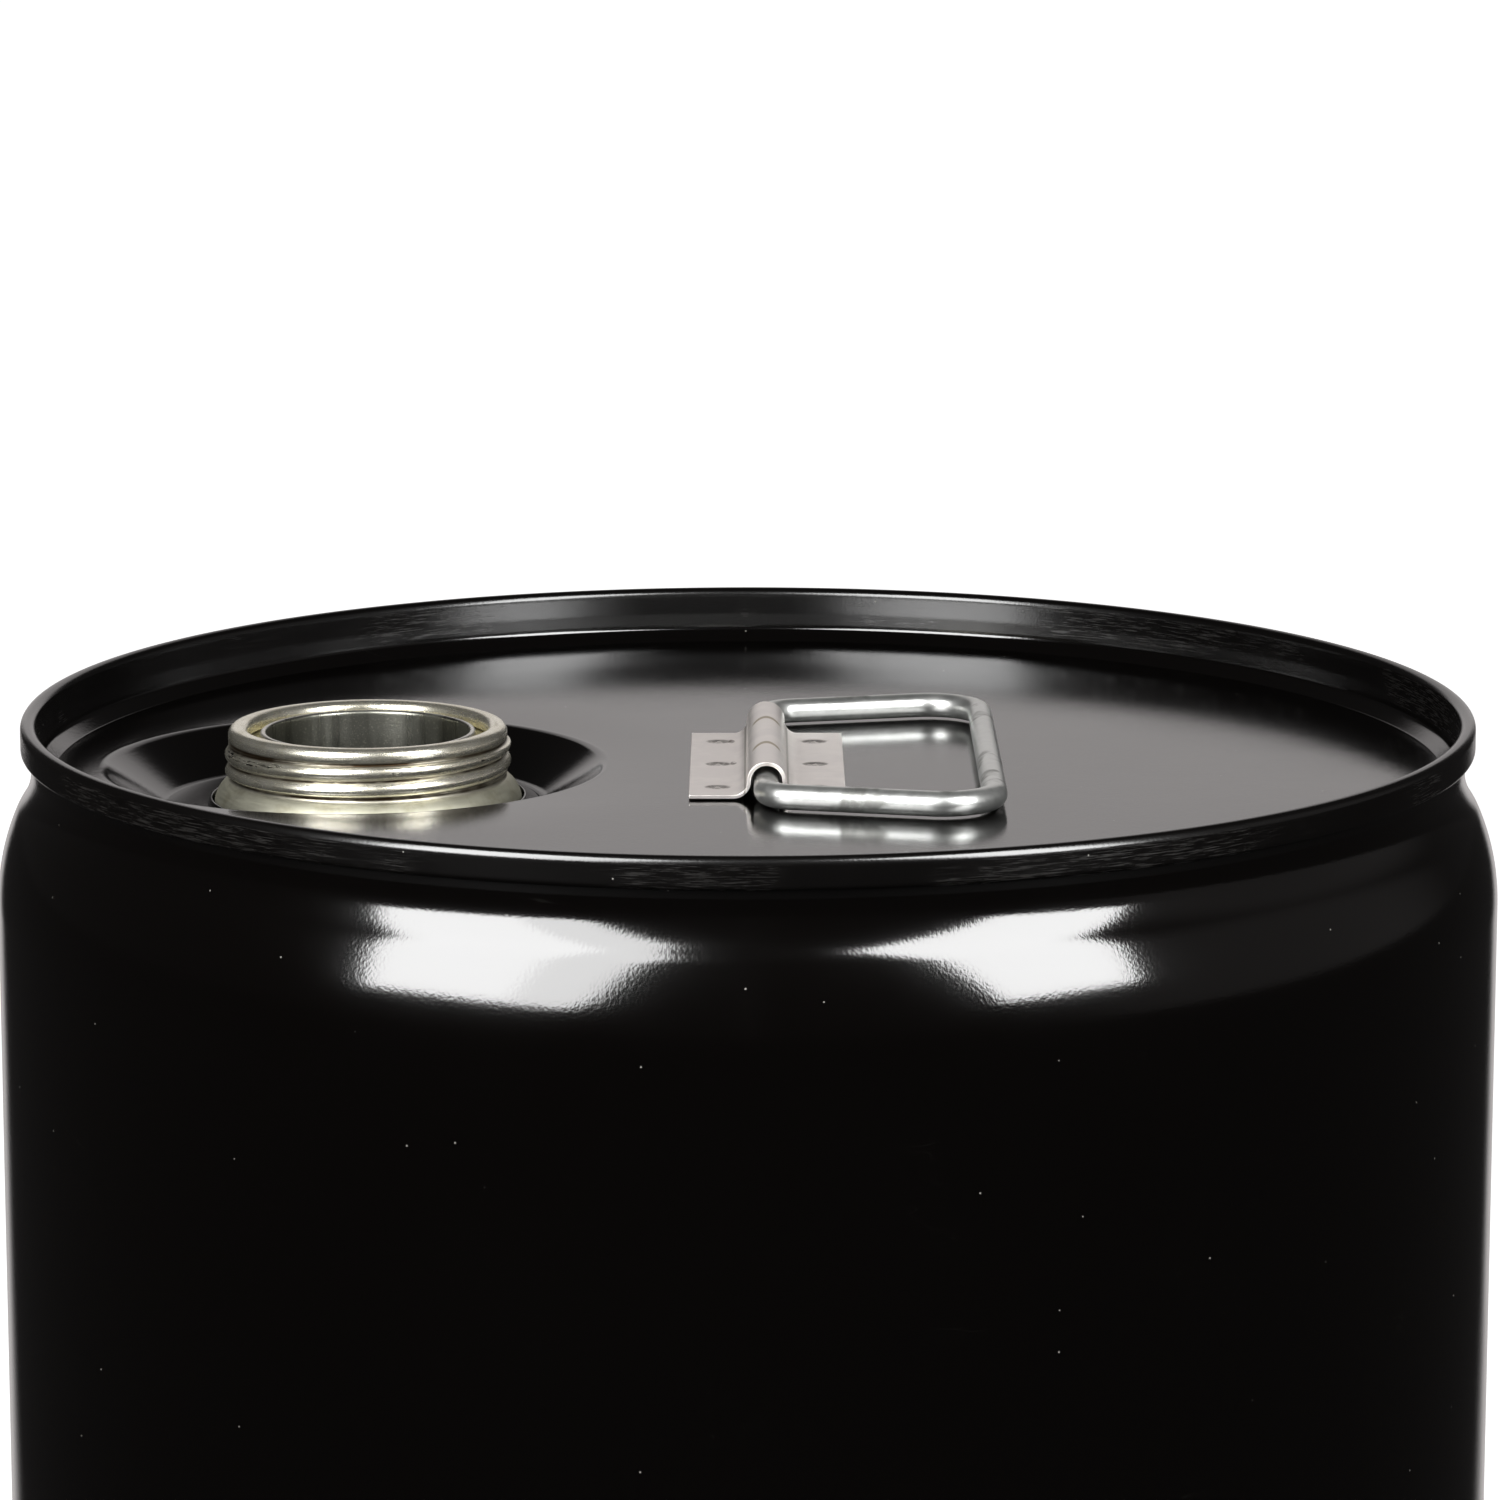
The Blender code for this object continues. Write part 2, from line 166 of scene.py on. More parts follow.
# The inner sleeve, and the sealing ring between the sleeve and the bead
SLEEVE_BORE = 19.6
SLEEVE_TOP_BELOW = HEIGHT - box_mm("neck_sleeve")[1].z
SLEEVE_CURL = 0.4
SLEEVE_LIP = 0.8
SLEEVE_FLARE_RADIUS = 33.5
SLEEVE_FLARE_ROUND = 2.0
SEAL_INNER = 20.4
SEAL_OUTER = 25.6
SEAL_TOP_BELOW = HEIGHT - box_mm("neck_channel_seal")[1].z
SEAL_THICKNESS = 2.0
SEAL_MENISCUS = 0.35

# The handle's bracket
BRACKET_LOW, BRACKET_HIGH = box_mm("handle_bracket")
BRACKET_SHEET = 0.75
BRACKET_BEND = 2.9
HUMP_HALF_WIDTH = 3.7
STRAP_STEP = 0.42
WELD_DIMPLE_DEPTH = 0.3
WELD_DIMPLE_HALF_LENGTH = 2.6
WELD_DIMPLE_HALF_WIDTH = 1.9
WELD_NUGGET_RADIUS = 0.6
WELD_NUGGET_HEIGHT = 0.42
WELD_COLUMNS = (-5.7, 12.9)
WELD_ROWS = (16.2, -6.4, -28.8)
CRESCENT_BOW = 0.45
DIE_LINE = 4.05

# The handle, a closed loop of wire
HANDLE_LOW, HANDLE_HIGH = box_mm("handle")
WIRE_RADIUS = (HANDLE_HIGH.z - HANDLE_LOW.z) / 2
PIVOT_X = HANDLE_LOW.x + WIRE_RADIUS
HANDLE_Y = (HANDLE_LOW.y + HANDLE_HIGH.y) / 2
PIVOT_HEIGHT = (HANDLE_LOW.z + HANDLE_HIGH.z) / 2
HANDLE_REACH = 42.5
PIVOT_HALF_LENGTH = 42.1
LEG_SPLAY = 13.3
PIVOT_BEND = 6.5
END_BEND = 10.0
WIRE_SIDES = 40

# Where the enamel is rubbed, as radii and depths that a scuff fades in over
SCUFF_PANEL_RADII = (138.4, 138.8)
SCUFF_CHUCK_RADIUS = 136.3
SCUFF_CHUCK_EDGE = (0.9, 0.5)
SCUFF_TOP_BELOW = (1.0, 1.6)
SCUFF_HEM_BELOW = (8.0, 7.0)

# Finishes. Depths are in metres, and colours are linear.
PAINT = (0.0005, 0.0003, 0.0002)
PAINT_SCUFFED = (0.012, 0.011, 0.01)
PAINT_SCRATCHED = (0.004, 0.004, 0.0035)
DUST = (0.14, 0.135, 0.12)
PAINT_IOR = 1.8
PEEL_DEPTH = 0.000015
RIPPLE_DEPTH = 0.000018
NECK_OUTSIDE_RADII = (25.8, 26.2)
MATTE_FLARE = (0.52, 0.51, 0.41)
MATTE_FLARE_DARK = (0.42, 0.4, 0.3)
# Painted shade, dark brown, for the thread's grooves
GROOVE_PAINTED_SHADE = (0.04, 0.025, 0.012)
HEAT_MARK_HALF = (0.7, 2.0)
HEAT_MARKS = ((0, 2.5, 0.0), (1, 2.9, 0.5))
CRESCENT_ROWS = (8.5, -17.0)

FLOOR = HEIGHT - FLOOR_BELOW
FLANGE_HEIGHT = FLOOR - RECESS_DEPTH - SHEET - 2 * GAP - GASKET_THICKNESS - NECK_SHEET / 2


def clamp(value):
    return max(0.0, min(1.0, value))


def smooth(share):
    """Ease a share from 0 to 1 in and out."""
    return share * share * (3.0 - 2.0 * share)


# ---- Profiles -------------------------------------------------------------------

class Profile:
    """A path of (radius, height, centre) points, drawn with lines and tangent arcs."""

    def __init__(self, radius, height, heading, centre=AXIS):
        self.radius = radius
        self.height = height
        self.heading = heading
        self.centre = centre
        self.points = [(radius, height, centre)]

    def go_to(self, radius, height):
        self.radius = radius
        self.height = height
        self.points.append((radius, height, self.centre))

    def line(self, length, rows=1):
        """Go straight on. A long line gets a point close to each end, so its shading stays flat."""
        angle = math.radians(self.heading)
        start_radius = self.radius
        start_height = self.height
        shares = [row / rows for row in range(1, rows + 1)]
        if length > 4 * HOLD:
            shares = sorted(shares + [HOLD / length, 1.0 - HOLD / length])
        for share in shares:
            reach = length * share
            across = reach * math.cos(angle)
            up = reach * math.sin(angle)
            self.go_to(start_radius + across, start_height + up)

    def line_to_height(self, height, rows=1):
        self.line((height - self.height) / math.sin(math.radians(self.heading)), rows)

    def line_to_radius(self, radius, rows=1):
        self.line((radius - self.radius) / math.cos(math.radians(self.heading)), rows)

    def arc(self, bend, turn, step=ARC_STEP):
        """Turn by turn degrees, left when positive, on a circle of radius bend."""
        steps = max(2, round(abs(turn) / step))
        outward = math.radians(self.heading - math.copysign(90.0, turn))
        centre_radius = self.radius - bend * math.cos(outward)
        centre_height = self.height - bend * math.sin(outward)
        for index in range(1, steps + 1):
            angle = outward + math.radians(turn * index / steps)
            across = bend * math.cos(angle)
            up = bend * math.sin(angle)
            self.go_to(centre_radius + across, centre_height + up)
        self.heading += turn

    def recentre(self, radius, centre, rows=1):
        """Go on around another axis, across a flat at the same height."""
        self.line(HOLD)
        start_radius = self.radius
        start_centre = self.centre
        for row in range(1, rows + 1):
            share = row / rows
            self.centre = tuple(old + share * (new - old) for old, new in zip(start_centre, centre))
            self.go_to(start_radius + share * (radius + HOLD - start_radius), self.height)
        self.go_to(radius, self.height)


def direction(start, end):
    """The unit vector from one profile point to the next; a flat runs inwards."""
    if start[2] != end[2]:
        return (-1.0, 0.0)
    across = end[0] - start[0]
    up = end[1] - start[1]
    length = math.hypot(across, up)
    return (across / length, up / length)


def rounded_end(point, run, half):
    """Points across the end of a sheet, from its left to its right, with rounded corners."""
    radius, height, centre = point
    corner = half * 0.6
    points = []
    for side in (1, -1):
        for index in range(4):
            angle = math.radians(90.0 * index / 3)
            if side < 0:
                angle = math.radians(90.0) - angle
            along = corner * (math.sin(angle) - 1.0)
            across = side * (half - corner + corner * math.cos(angle))
            points.append((
                radius + run[0] * along - run[1] * across,
                height + run[1] * along + run[0] * across,
                centre,
            ))
    return points


def sheet_outline(points, thickness):
    """The closed outline of a sheet whose middle follows the points, with rounded ends."""
    half = thickness / 2
    runs = [direction(start, end) for start, end in zip(points, points[1:])]
    left = []
    right = []
    for (radius, height, centre), before, after in zip(points, runs[:1] + runs, runs + runs[-1:]):
        normal = (-before[1] - after[1], before[0] + after[0])
        reach = thickness / (normal[0] ** 2 + normal[1] ** 2)
        left.append((radius + normal[0] * reach, height + normal[1] * reach, centre))
        right.append((radius - normal[0] * reach, height - normal[1] * reach, centre))
    far_end = rounded_end(points[-1], runs[-1], half)
    back = (-runs[0][0], -runs[0][1])
    near_end = rounded_end(points[0], back, half)
    on_axis = abs(points[-1][0]) < MM
    if on_axis:
        return near_end + left[1:] + right[:0:-1]
    return near_end + left[1:-1] + far_end + right[-2:0:-1]


# ---- Meshes ---------------------------------------------------------------------

def make_object(name, vertices, faces, material, sharp=40.0):
    """Build an object from vertices in millimetres, with its faces pointing out."""
    mesh = bpy.data.meshes.new(name)
    mesh.from_pydata([(x * MM, y * MM, z * MM) for x, y, z in vertices], [], faces)
    mesh.validate()
    mesh.materials.append(material)
    mesh.shade_smooth()
    mesh.set_sharp_from_angle(angle=math.radians(sharp))
    made = bpy.data.objects.new(name, mesh)
    bpy.context.scene.collection.objects.link(made)
    return made


def even_angles(steps):
    return [2.0 * math.pi * step / steps for step in range(steps)]


def turn(name, outline, material, angles, lift=None, rise=None):
    """Turn a closed outline about its axis. A point on the axis becomes one vertex.

    lift(angle, radius, height) is added to each radius, and rise(x, y) to each height.
    """
    vertices = []
    rings = []
    steps = len(angles)
    for radius, height, centre in outline:
        first = len(vertices)
        if abs(radius) < MM:
            vertices.append((centre[0], centre[1], height))
            rings.append([first] * steps)
            continue
        for angle in angles:
            reach = radius + (lift(angle, radius, height) if lift else 0.0)
            x = centre[0] + reach * math.cos(angle)
            y = centre[1] + reach * math.sin(angle)
            vertices.append((x, y, height + (rise(x, y) if rise else 0.0)))
        rings.append(list(range(first, first + steps)))
    faces = []
    for ring, next_ring in zip(rings, rings[1:] + rings[:1]):
        for step in range(steps):
            after = (step + 1) % steps
            corners = [ring[step], next_ring[step], next_ring[after], ring[after]]
            face = [corner for index, corner in enumerate(corners) if corner != corners[index - 1]]
            if len(face) > 2:
                faces.append(face)
    if outline_area(outline) < 0.0:
        faces = [face[::-1] for face in faces]
    return make_object(name, vertices, faces, material)


def outline_area(outline):
    """The area an outline encloses. It is positive when the outline runs anticlockwise."""
    area = 0.0
    for start, end in zip(outline, outline[1:] + outline[:1]):
        area += start[0] * end[1] - end[0] * start[1]
    return area / 2


# ---- Materials ------------------------------------------------------------------

class Graph:
    """The nodes of a material, a light or a world, and short ways to add to them."""

    def __init__(self, owner):
        owner.use_nodes = True
        self.owner = owner
        self.tree = owner.node_tree

    def node(self, kind, inputs=None, **settings):
        """Add a node. An input's value is a number, a colour or another node's socket."""
        made = self.tree.nodes.new(kind)
        for name, value in settings.items():
            setattr(made, name, value)
        for key, value in (inputs or {}).items():
            self.set(made, key, value)
        return made

    def set(self, node, key, value):
        if isinstance(value, bpy.types.NodeSocket):
            self.tree.links.new(value, node.inputs[key])
        else:
            node.inputs[key].default_value = value

    def surface(self, **inputs):
        """Set the inputs of a material's own shader."""
        for key, value in inputs.items():
            self.set(self.tree.nodes["Principled BSDF"], key.replace("_", " "), value)
        return self.owner

    def place(self):
        return self.node("ShaderNodeTexCoord").outputs["Object"]

    def stretch(self, vector, scale):
        """Scale a place, so that a texture is stretched along an axis."""
        return self.node("ShaderNodeMapping", {"Vector": vector, "Scale": scale}).outputs["Vector"]

    def noise(self, vector, scale, detail=2.0, roughness=0.5, distortion=0.0):
        values = {"Vector": vector, "Scale": scale, "Detail": detail,
                  "Roughness": roughness, "Distortion": distortion}
        return self.node("ShaderNodeTexNoise", values).outputs["Fac"]

    def math(self, operation, first, second=0.0, third=0.0):
        values = {0: first, 1: second, 2: third}
        return self.node("ShaderNodeMath", values, operation=operation).outputs[0]

    def ramp(self, value, low, high, low_out=0.0, high_out=1.0, smooth=True):
        """Map a value between low and high to low_out and high_out, and no further."""
        values = {"Value": value, "From Min": low, "From Max": high,
                  "To Min": low_out, "To Max": high_out}
        style = "SMOOTHSTEP" if smooth else "LINEAR"
        return self.node("ShaderNodeMapRange", values, interpolation_type=style).outputs["Result"]

    def ramp_mm(self, length, low, high, low_out=0.0, high_out=1.0):
        """ramp, for a length in metres whose low and high are given in millimetres."""
        return self.ramp(length, low * MM, high * MM, low_out, high_out)

    def product(self, first, *others):
        for other in others:
            first = self.math("MULTIPLY", first, other)
        return first

    def gap(self, value, middle):
        """How far a value is from middle, on either side."""
        return self.math("ABSOLUTE", self.math("SUBTRACT", value, middle))

    def mix(self, share, first, second):
        """Blend two colours."""
        made = self.node("ShaderNodeMix", data_type="RGBA")
        self.set(made, "Factor", share)
        for index, value in ((6, first), (7, second)):
            if isinstance(value, tuple):
                value = (*value, 1.0)
            self.set(made, index, value)
        return made.outputs[2]

    def split(self, vector):
        return self.node("ShaderNodeSeparateXYZ", {"Vector": vector}).outputs

    def bump(self, height, distance, strength=1.0, below=None):
        values = {"Height": height, "Distance": distance, "Strength": strength}
        if below is not None:
            values["Normal"] = below
        return self.node("ShaderNodeBump", values).outputs["Normal"]

    def around(self, vector, centre, length):
        """Radius, distance around and height, for marks drawn out around an upright axis.

        length is how far one radian counts, in metres.
        """
        x, y, z = self.split(vector)
        across = self.math("SUBTRACT", x, centre[0] * MM)
        along = self.math("SUBTRACT", y, centre[1] * MM)
        angle = self.math("ARCTAN2", across, self.product(along, -1.0))
        radius = self.radius_from(vector, centre)
        parts = {"X": radius, "Y": self.product(angle, length), "Z": z}
        return self.node("ShaderNodeCombineXYZ", parts).outputs["Vector"]

    def radius_from(self, vector, centre):
        """The distance, in metres, from an upright line through centre."""
        x, y, _ = self.split(vector)
        across = self.math("SUBTRACT", x, centre[0] * MM)
        along = self.math("SUBTRACT", y, centre[1] * MM)
        squares = self.math("ADD", self.product(across, across), self.product(along, along))
        return self.math("SQRT", squares)


def below_top(depths):
    """Turn depths below the top of the upper seam into heights."""
    return [HEIGHT - depth for depth in depths]


def streaks_along_seam(graph, place):
    """Fine scuff lines that run around the drum, from 0 to 1."""
    return graph.noise(graph.stretch(place, (60.0, 60.0, 1400.0)), 3.0, 6.0, 0.65)


def seam_scuff(graph, place, streaks):
    """Where the enamel is rubbed dull: patches of the seam's outer panel and of the chuck wall."""
    _, _, height = graph.split(place)
    radius = graph.radius_from(place, AXIS)
    panel = graph.ramp_mm(radius, *SCUFF_PANEL_RADII)
    chuck = graph.ramp_mm(graph.gap(radius, SCUFF_CHUCK_RADIUS * MM), *SCUFF_CHUCK_EDGE)
    under_top = graph.ramp_mm(height, *below_top(SCUFF_TOP_BELOW))
    over_hem = graph.ramp_mm(height, *below_top(SCUFF_HEM_BELOW))
    area = graph.product(graph.math("MAXIMUM", panel, chuck), under_top, over_hem)
    patches = graph.ramp(graph.noise(place, 28.0, 3.0, 0.6), 0.42, 0.62)
    lines = graph.ramp(streaks, 0.47, 0.68)
    return graph.product(area, patches, lines)


def seam_area(graph, place):
    """1 on the upper seam and the chuck wall inside it, where the drum is handled."""
    _, _, height = graph.split(place)
    radius = graph.radius_from(place, AXIS)
    at_rim = graph.ramp_mm(radius, TOP_CHUCK_RADIUS - 1.6, TOP_CHUCK_RADIUS - 1.2)
    high = graph.ramp_mm(height, *below_top((8.0, 7.6)))
    return graph.product(at_rim, high)


def scattered_specks(graph, place, scale, size, rarity):
    """Small round specks. A higher rarity leaves fewer of them."""
    cells = graph.node("ShaderNodeTexVoronoi", {"Vector": place, "Scale": scale})
    chance = graph.split(cells.outputs["Color"])[0]
    kept = graph.ramp(chance, rarity, rarity + 0.01)
    return graph.product(kept, graph.ramp(cells.outputs["Distance"], size, size * 0.6))


def fine_scratches(graph, place):
    """Short hairlines at odd angles, in scattered places."""
    tilted = graph.node("ShaderNodeMapping", {
        "Vector": place,
        "Rotation": (0.5, 0.35, 0.7),
        "Scale": (14.0, 14.0, 90.0),
    }).outputs["Vector"]
    line = graph.ramp(graph.gap(graph.noise(tilted, 3.0, 1.0), 0.5), 0.003, 0.001)
    return graph.product(line, graph.ramp(graph.noise(place, 45.0, 1.0), 0.66, 0.72))


def black_paint():
    """Gloss black enamel: fine orange peel, dust specks, hairlines and scuffed seams."""
    graph = Graph(bpy.data.materials.new("black_paint"))
    place = graph.place()
    streaks = streaks_along_seam(graph, place)
    scuff = seam_scuff(graph, place, streaks)
    speck = scattered_specks(graph, place, 220.0, 0.05, 0.82)
    scratch = fine_scratches(graph, place)
    colour = graph.mix(scuff, PAINT, PAINT_SCUFFED)
    colour = graph.mix(scratch, colour, PAINT_SCRATCHED)
    colour = graph.mix(speck, colour, DUST)
    rough = graph.ramp(graph.noise(place, 25.0, 3.0), 0.3, 0.7, 0.09, 0.12)
    rough = graph.math("MULTIPLY_ADD", seam_area(graph, place), 0.1, rough)
    rough = graph.math("MULTIPLY_ADD", scuff, 0.2, rough)
    rough = graph.math("MULTIPLY_ADD", speck, 0.3, rough)
    peel = graph.bump(graph.noise(place, 1700.0, 2.0), PEEL_DEPTH)
    ripple = graph.bump(graph.noise(place, 90.0, 2.0), RIPPLE_DEPTH, below=peel)
    worn = graph.bump(streaks, PEEL_DEPTH, scuff, below=ripple)
    return graph.surface(Base_Color=colour, Roughness=rough, Normal=worn, IOR=PAINT_IOR)


def tinplate():
    """Satin tinplate under a faint yellow lacquer, with painted shade in the thread's grooves,
    matte below.
    """
    graph = Graph(bpy.data.materials.new("tinplate"))
    place = graph.place()
    x, _, height = graph.split(place)
    radius = graph.radius_from(place, NECK_CENTRE)
    grain = graph.noise(place, 2600.0, 2.0, 0.6)
    cloud = graph.noise(place, 260.0, 4.0, 0.6)
    turned = graph.around(place, NECK_CENTRE, 0.003)
    rings = graph.noise(turned, 1600.0, 3.0, 0.6)
    outside = graph.ramp_mm(radius, *NECK_OUTSIDE_RADII)
    above_flare = graph.ramp_mm(height, *below_top((14.0, 13.3)))
    below_bead = graph.ramp_mm(height, *below_top((5.9, 6.2)))
    threaded = graph.product(outside, above_flare, below_bead)
    matte = graph.product(outside, graph.ramp_mm(height, *below_top((13.4, 14.4))))
    # Painted shade: the colour is darkened, unevenly, in the thread's grooves.
    groove = graph.ramp_mm(radius, THREAD_ROOT + 0.6, THREAD_ROOT + 0.05)
    uneven = graph.ramp(graph.noise(place, 130.0, 3.0), 0.3, 0.6, 0.6, 1.0)
    groove_shade = graph.product(groove, threaded, uneven)
    fleck = graph.product(thread_flecks(graph, x, height, turned), threaded)
    colour = graph.mix(graph.ramp(cloud, 0.35, 0.65), (0.8, 0.765, 0.63), (0.9, 0.87, 0.75))
    colour = graph.mix(graph.ramp(rings, 0.56, 0.7, 0.0, 0.45), colour, (0.34, 0.29, 0.2))
    colour = graph.mix(matte, colour, MATTE_FLARE)
    clouded = graph.product(matte, graph.ramp(cloud, 0.45, 0.7))
    colour = graph.mix(clouded, colour, MATTE_FLARE_DARK)
    colour = graph.mix(groove_shade, colour, GROOVE_PAINTED_SHADE)
    colour = graph.mix(fleck, colour, (0.02, 0.018, 0.015))
    rough = graph.ramp(rings, 0.3, 0.7, 0.23, 0.3)
    rough = graph.math("MULTIPLY_ADD", matte, 0.24, rough)
    rough = graph.math("MULTIPLY_ADD", groove_shade, 0.15, rough)
    normal = graph.bump(grain, 0.000014)
    normal = graph.bump(rings, 0.00002, below=normal)
    normal = graph.bump(fleck, -0.00005, below=normal)
    return graph.surface(Base_Color=colour, Metallic=0.94, Roughness=rough, Normal=normal)


def thread_flecks(graph, x, height, turned):
    """Black flecks where caps have chipped the first turn of the thread, most at its left."""
    wear = graph.noise(turned, 2300.0, 3.0, 0.75)
    left = graph.ramp_mm(x, NECK_CENTRE[0] - 12.0, NECK_CENTRE[0] - 17.0)
    right = graph.ramp_mm(x, NECK_CENTRE[0] + 17.0, NECK_CENTRE[0] + 20.0, 0.0, 0.55)
    side = graph.math("MAXIMUM", graph.math("MAXIMUM", left, right), 0.25)
    band = graph.ramp_mm(graph.gap(height, (HEIGHT - FLECK_BELOW) * MM), 1.1, 0.4)
    chance = graph.product(side, band, 0.16)
    return graph.ramp(graph.math("ADD", wear, chance), 0.7, 0.74)


def sleeve_tinplate():
    """Drawn tinplate with soft upright draw lines and a fine grain, darkened inside with painted
    shade that holds painted glints.
    """
    graph = Graph(bpy.data.materials.new("sleeve_tinplate"))
    place = graph.place()
    radius = graph.radius_from(place, NECK_CENTRE)
    lines = graph.noise(graph.stretch(place, (1.0, 1.0, 0.04)), 420.0, 2.0)
    grain = graph.noise(place, 3000.0, 2.0, 0.7)
    inside = graph.ramp_mm(radius, SLEEVE_BORE + 0.3, SLEEVE_BORE + 0.1)
    # Painted glints: bright spots of colour in the bore's painted shade.
    painted_glint = graph.ramp(graph.noise(place, 2400.0, 3.0, 0.8), 0.56, 0.7)
    # Painted shade: inside the bore the colour is darkened.
    colour = graph.mix(inside, (0.74, 0.73, 0.68), (0.27, 0.27, 0.235))
    colour = graph.mix(graph.product(painted_glint, inside), colour, (0.6, 0.57, 0.46))
    rough = graph.ramp(lines, 0.3, 0.7, 0.26, 0.34)
    normal = graph.bump(grain, 0.00004, below=graph.bump(lines, 0.000006))
    return graph.surface(Base_Color=colour, Metallic=1.0, Roughness=rough, Normal=normal)


def cream_lining():
    """Matte cream lining compound, poured into the channel."""
    graph = Graph(bpy.data.materials.new("cream_lining"))
    cloud = graph.noise(graph.place(), 400.0, 3.0)
    colour = graph.mix(graph.ramp(cloud, 0.35, 0.65), (0.5, 0.44, 0.24), (0.6, 0.54, 0.32))
    return graph.surface(Base_Color=colour, Roughness=0.5, Normal=graph.bump(cloud, 0.0001))


def oval(graph, place, middle, half_x, half_y):
    """The square of the distance from middle, where 1 is the edge of an oval, in millimetres."""
    x, y, _ = graph.split(place)
    along = graph.math("DIVIDE", graph.math("SUBTRACT", x, middle[0] * MM), half_x * MM)
    across = graph.math("DIVIDE", graph.math("SUBTRACT", y, middle[1] * MM), half_y * MM)
    return graph.math("MULTIPLY_ADD", along, along, graph.product(across, across))


def weld_distance(graph, place):
    """Distance from the nearest spot weld, where 1 is the edge of its dimple."""
    half = (WELD_DIMPLE_HALF_LENGTH, WELD_DIMPLE_HALF_WIDTH)
    nearest = None
    for column in WELD_COLUMNS:
        for row in WELD_ROWS:
            squares = oval(graph, place, (column, row), *half)
            nearest = squares if nearest is None else graph.math("MINIMUM", nearest, squares)
    return graph.math("SQRT", nearest)


def heat_mark(graph, place, row, right, back):
    """1 in a small upright oval to the right of a weld of the left column."""
    middle = (WELD_COLUMNS[0] + right, WELD_ROWS[row] + back)
    return graph.ramp(oval(graph, place, middle, *HEAT_MARK_HALF), 1.0, 0.4)


def hump_crescent(graph, place, y_mm):
    """A tan rub mark across the top of the hump, bowed towards the front at its ends."""
    x, y, z = graph.split(place)
    across = graph.math("SUBTRACT", x, PIVOT_X * MM)
    bow = graph.product(across, across, -CRESCENT_BOW / MM)
    offset = graph.math("SUBTRACT", graph.math("SUBTRACT", y, y_mm * MM), bow)
    line = graph.ramp_mm(graph.math("ABSOLUTE", offset), 1.4, 0.7)
    on_top = graph.ramp_mm(graph.math("ABSOLUTE", across), 2.9, 2.2)
    high = graph.ramp_mm(z, BRACKET_HIGH.z - 2.5, BRACKET_HIGH.z - 2.0)
    return graph.product(line, on_top, high)


def satin_strap():
    """Satin warm-grey strap: die lines beside the hump, dark weld dimples, heat and rub marks."""
    graph = Graph(bpy.data.materials.new("satin_strap"))
    place = graph.place()
    x, _, _ = graph.split(place)
    grain = graph.noise(place, 2500.0, 2.0, 0.6)
    cloud = graph.noise(place, 150.0, 3.0)
    weld = weld_distance(graph, place)
    blotch = graph.ramp(graph.noise(place, 900.0, 3.0), 0.35, 0.6, 0.35, 1.0)
    burn = graph.product(graph.ramp(weld, 1.05, 0.8), graph.ramp(weld, 0.22, 0.36), blotch)
    die_line = graph.ramp_mm(graph.gap(graph.gap(x, PIVOT_X * MM), DIE_LINE * MM), 0.3, 0.1)
    heat = graph.math("MAXIMUM", *[heat_mark(graph, place, *mark) for mark in HEAT_MARKS])
    heat = graph.product(heat, graph.ramp(graph.noise(place, 700.0, 3.0), 0.42, 0.55))
    rub = graph.math("MAXIMUM", *[hump_crescent(graph, place, y) for y in CRESCENT_ROWS])
    colour = graph.mix(graph.ramp(cloud, 0.35, 0.65), (0.8, 0.755, 0.725), (0.88, 0.835, 0.8))
    colour = graph.mix(graph.product(die_line, 0.6), colour, (0.25, 0.23, 0.2))
    colour = graph.mix(graph.product(burn, 0.7), colour, (0.09, 0.075, 0.06))
    colour = graph.mix(graph.product(heat, 0.8), colour, (0.1, 0.075, 0.055))
    colour = graph.mix(graph.product(rub, 0.85), colour, (0.34, 0.27, 0.16))
    rough = graph.ramp(cloud, 0.3, 0.7, 0.36, 0.44)
    normal = graph.bump(die_line, -0.00006, below=graph.bump(grain, 0.00001))
    return graph.surface(Base_Color=colour, Metallic=0.88, Roughness=rough, Normal=normal)


def zinc_wire():
    """Bright zinc plate on wire, softened by handling, with a few grey smudges."""
    graph = Graph(bpy.data.materials.new("zinc_wire"))
    place = graph.place()
    cloud = graph.noise(place, 260.0, 4.0, 0.65)
    broad = graph.noise(place, 75.0, 3.0, 0.6)
    grain = graph.noise(place, 1500.0, 3.0, 0.6)
    smudge = graph.product(graph.ramp(broad, 0.55, 0.62), graph.ramp(cloud, 0.35, 0.6, 0.3, 1.0))
    colour = graph.mix(graph.ramp(cloud, 0.3, 0.7), (0.62, 0.63, 0.61), (0.72, 0.73, 0.71))
    colour = graph.mix(graph.product(smudge, 0.75), colour, (0.17, 0.17, 0.155))
    rough = graph.ramp(cloud, 0.3, 0.7, 0.3, 0.38)
    rough = graph.math("MULTIPLY_ADD", smudge, 0.1, rough)
    normal = graph.bump(grain, 0.00002)
    return graph.surface(Base_Color=colour, Metallic=0.92, Roughness=rough, Normal=normal)


def seam_compound():
    """Matte brown solvent-cast compound."""
    graph = Graph(bpy.data.materials.new("seam_compound"))
    cloud = graph.noise(graph.place(), 500.0, 3.0)
    colour = graph.mix(cloud, (0.1, 0.08, 0.05), (0.15, 0.13, 0.09))
    return graph.surface(Base_Color=colour, Roughness=0.75, Normal=graph.bump(cloud, 0.0001))


def gasket_rubber():
    """Matte black rubber with a fine grain."""
    graph = Graph(bpy.data.materials.new("gasket_rubber"))
    cloud = graph.noise(graph.place(), 900.0, 3.0)
    colour = graph.mix(cloud, (0.015, 0.015, 0.015), (0.028, 0.028, 0.028))
    return graph.surface(Base_Color=colour, Roughness=0.7, Normal=graph.bump(cloud, 0.00008))


# ---- The shell ------------------------------------------------------------------

def fold_height(side):
    """The height that a seam's outer folds are centred on. side is 1 at the top, -1 below."""
    inset = HALF_SHEET + 2 * FOLD_PITCH + MITRE_ROOM
    return HEIGHT - inset if side > 0 else inset


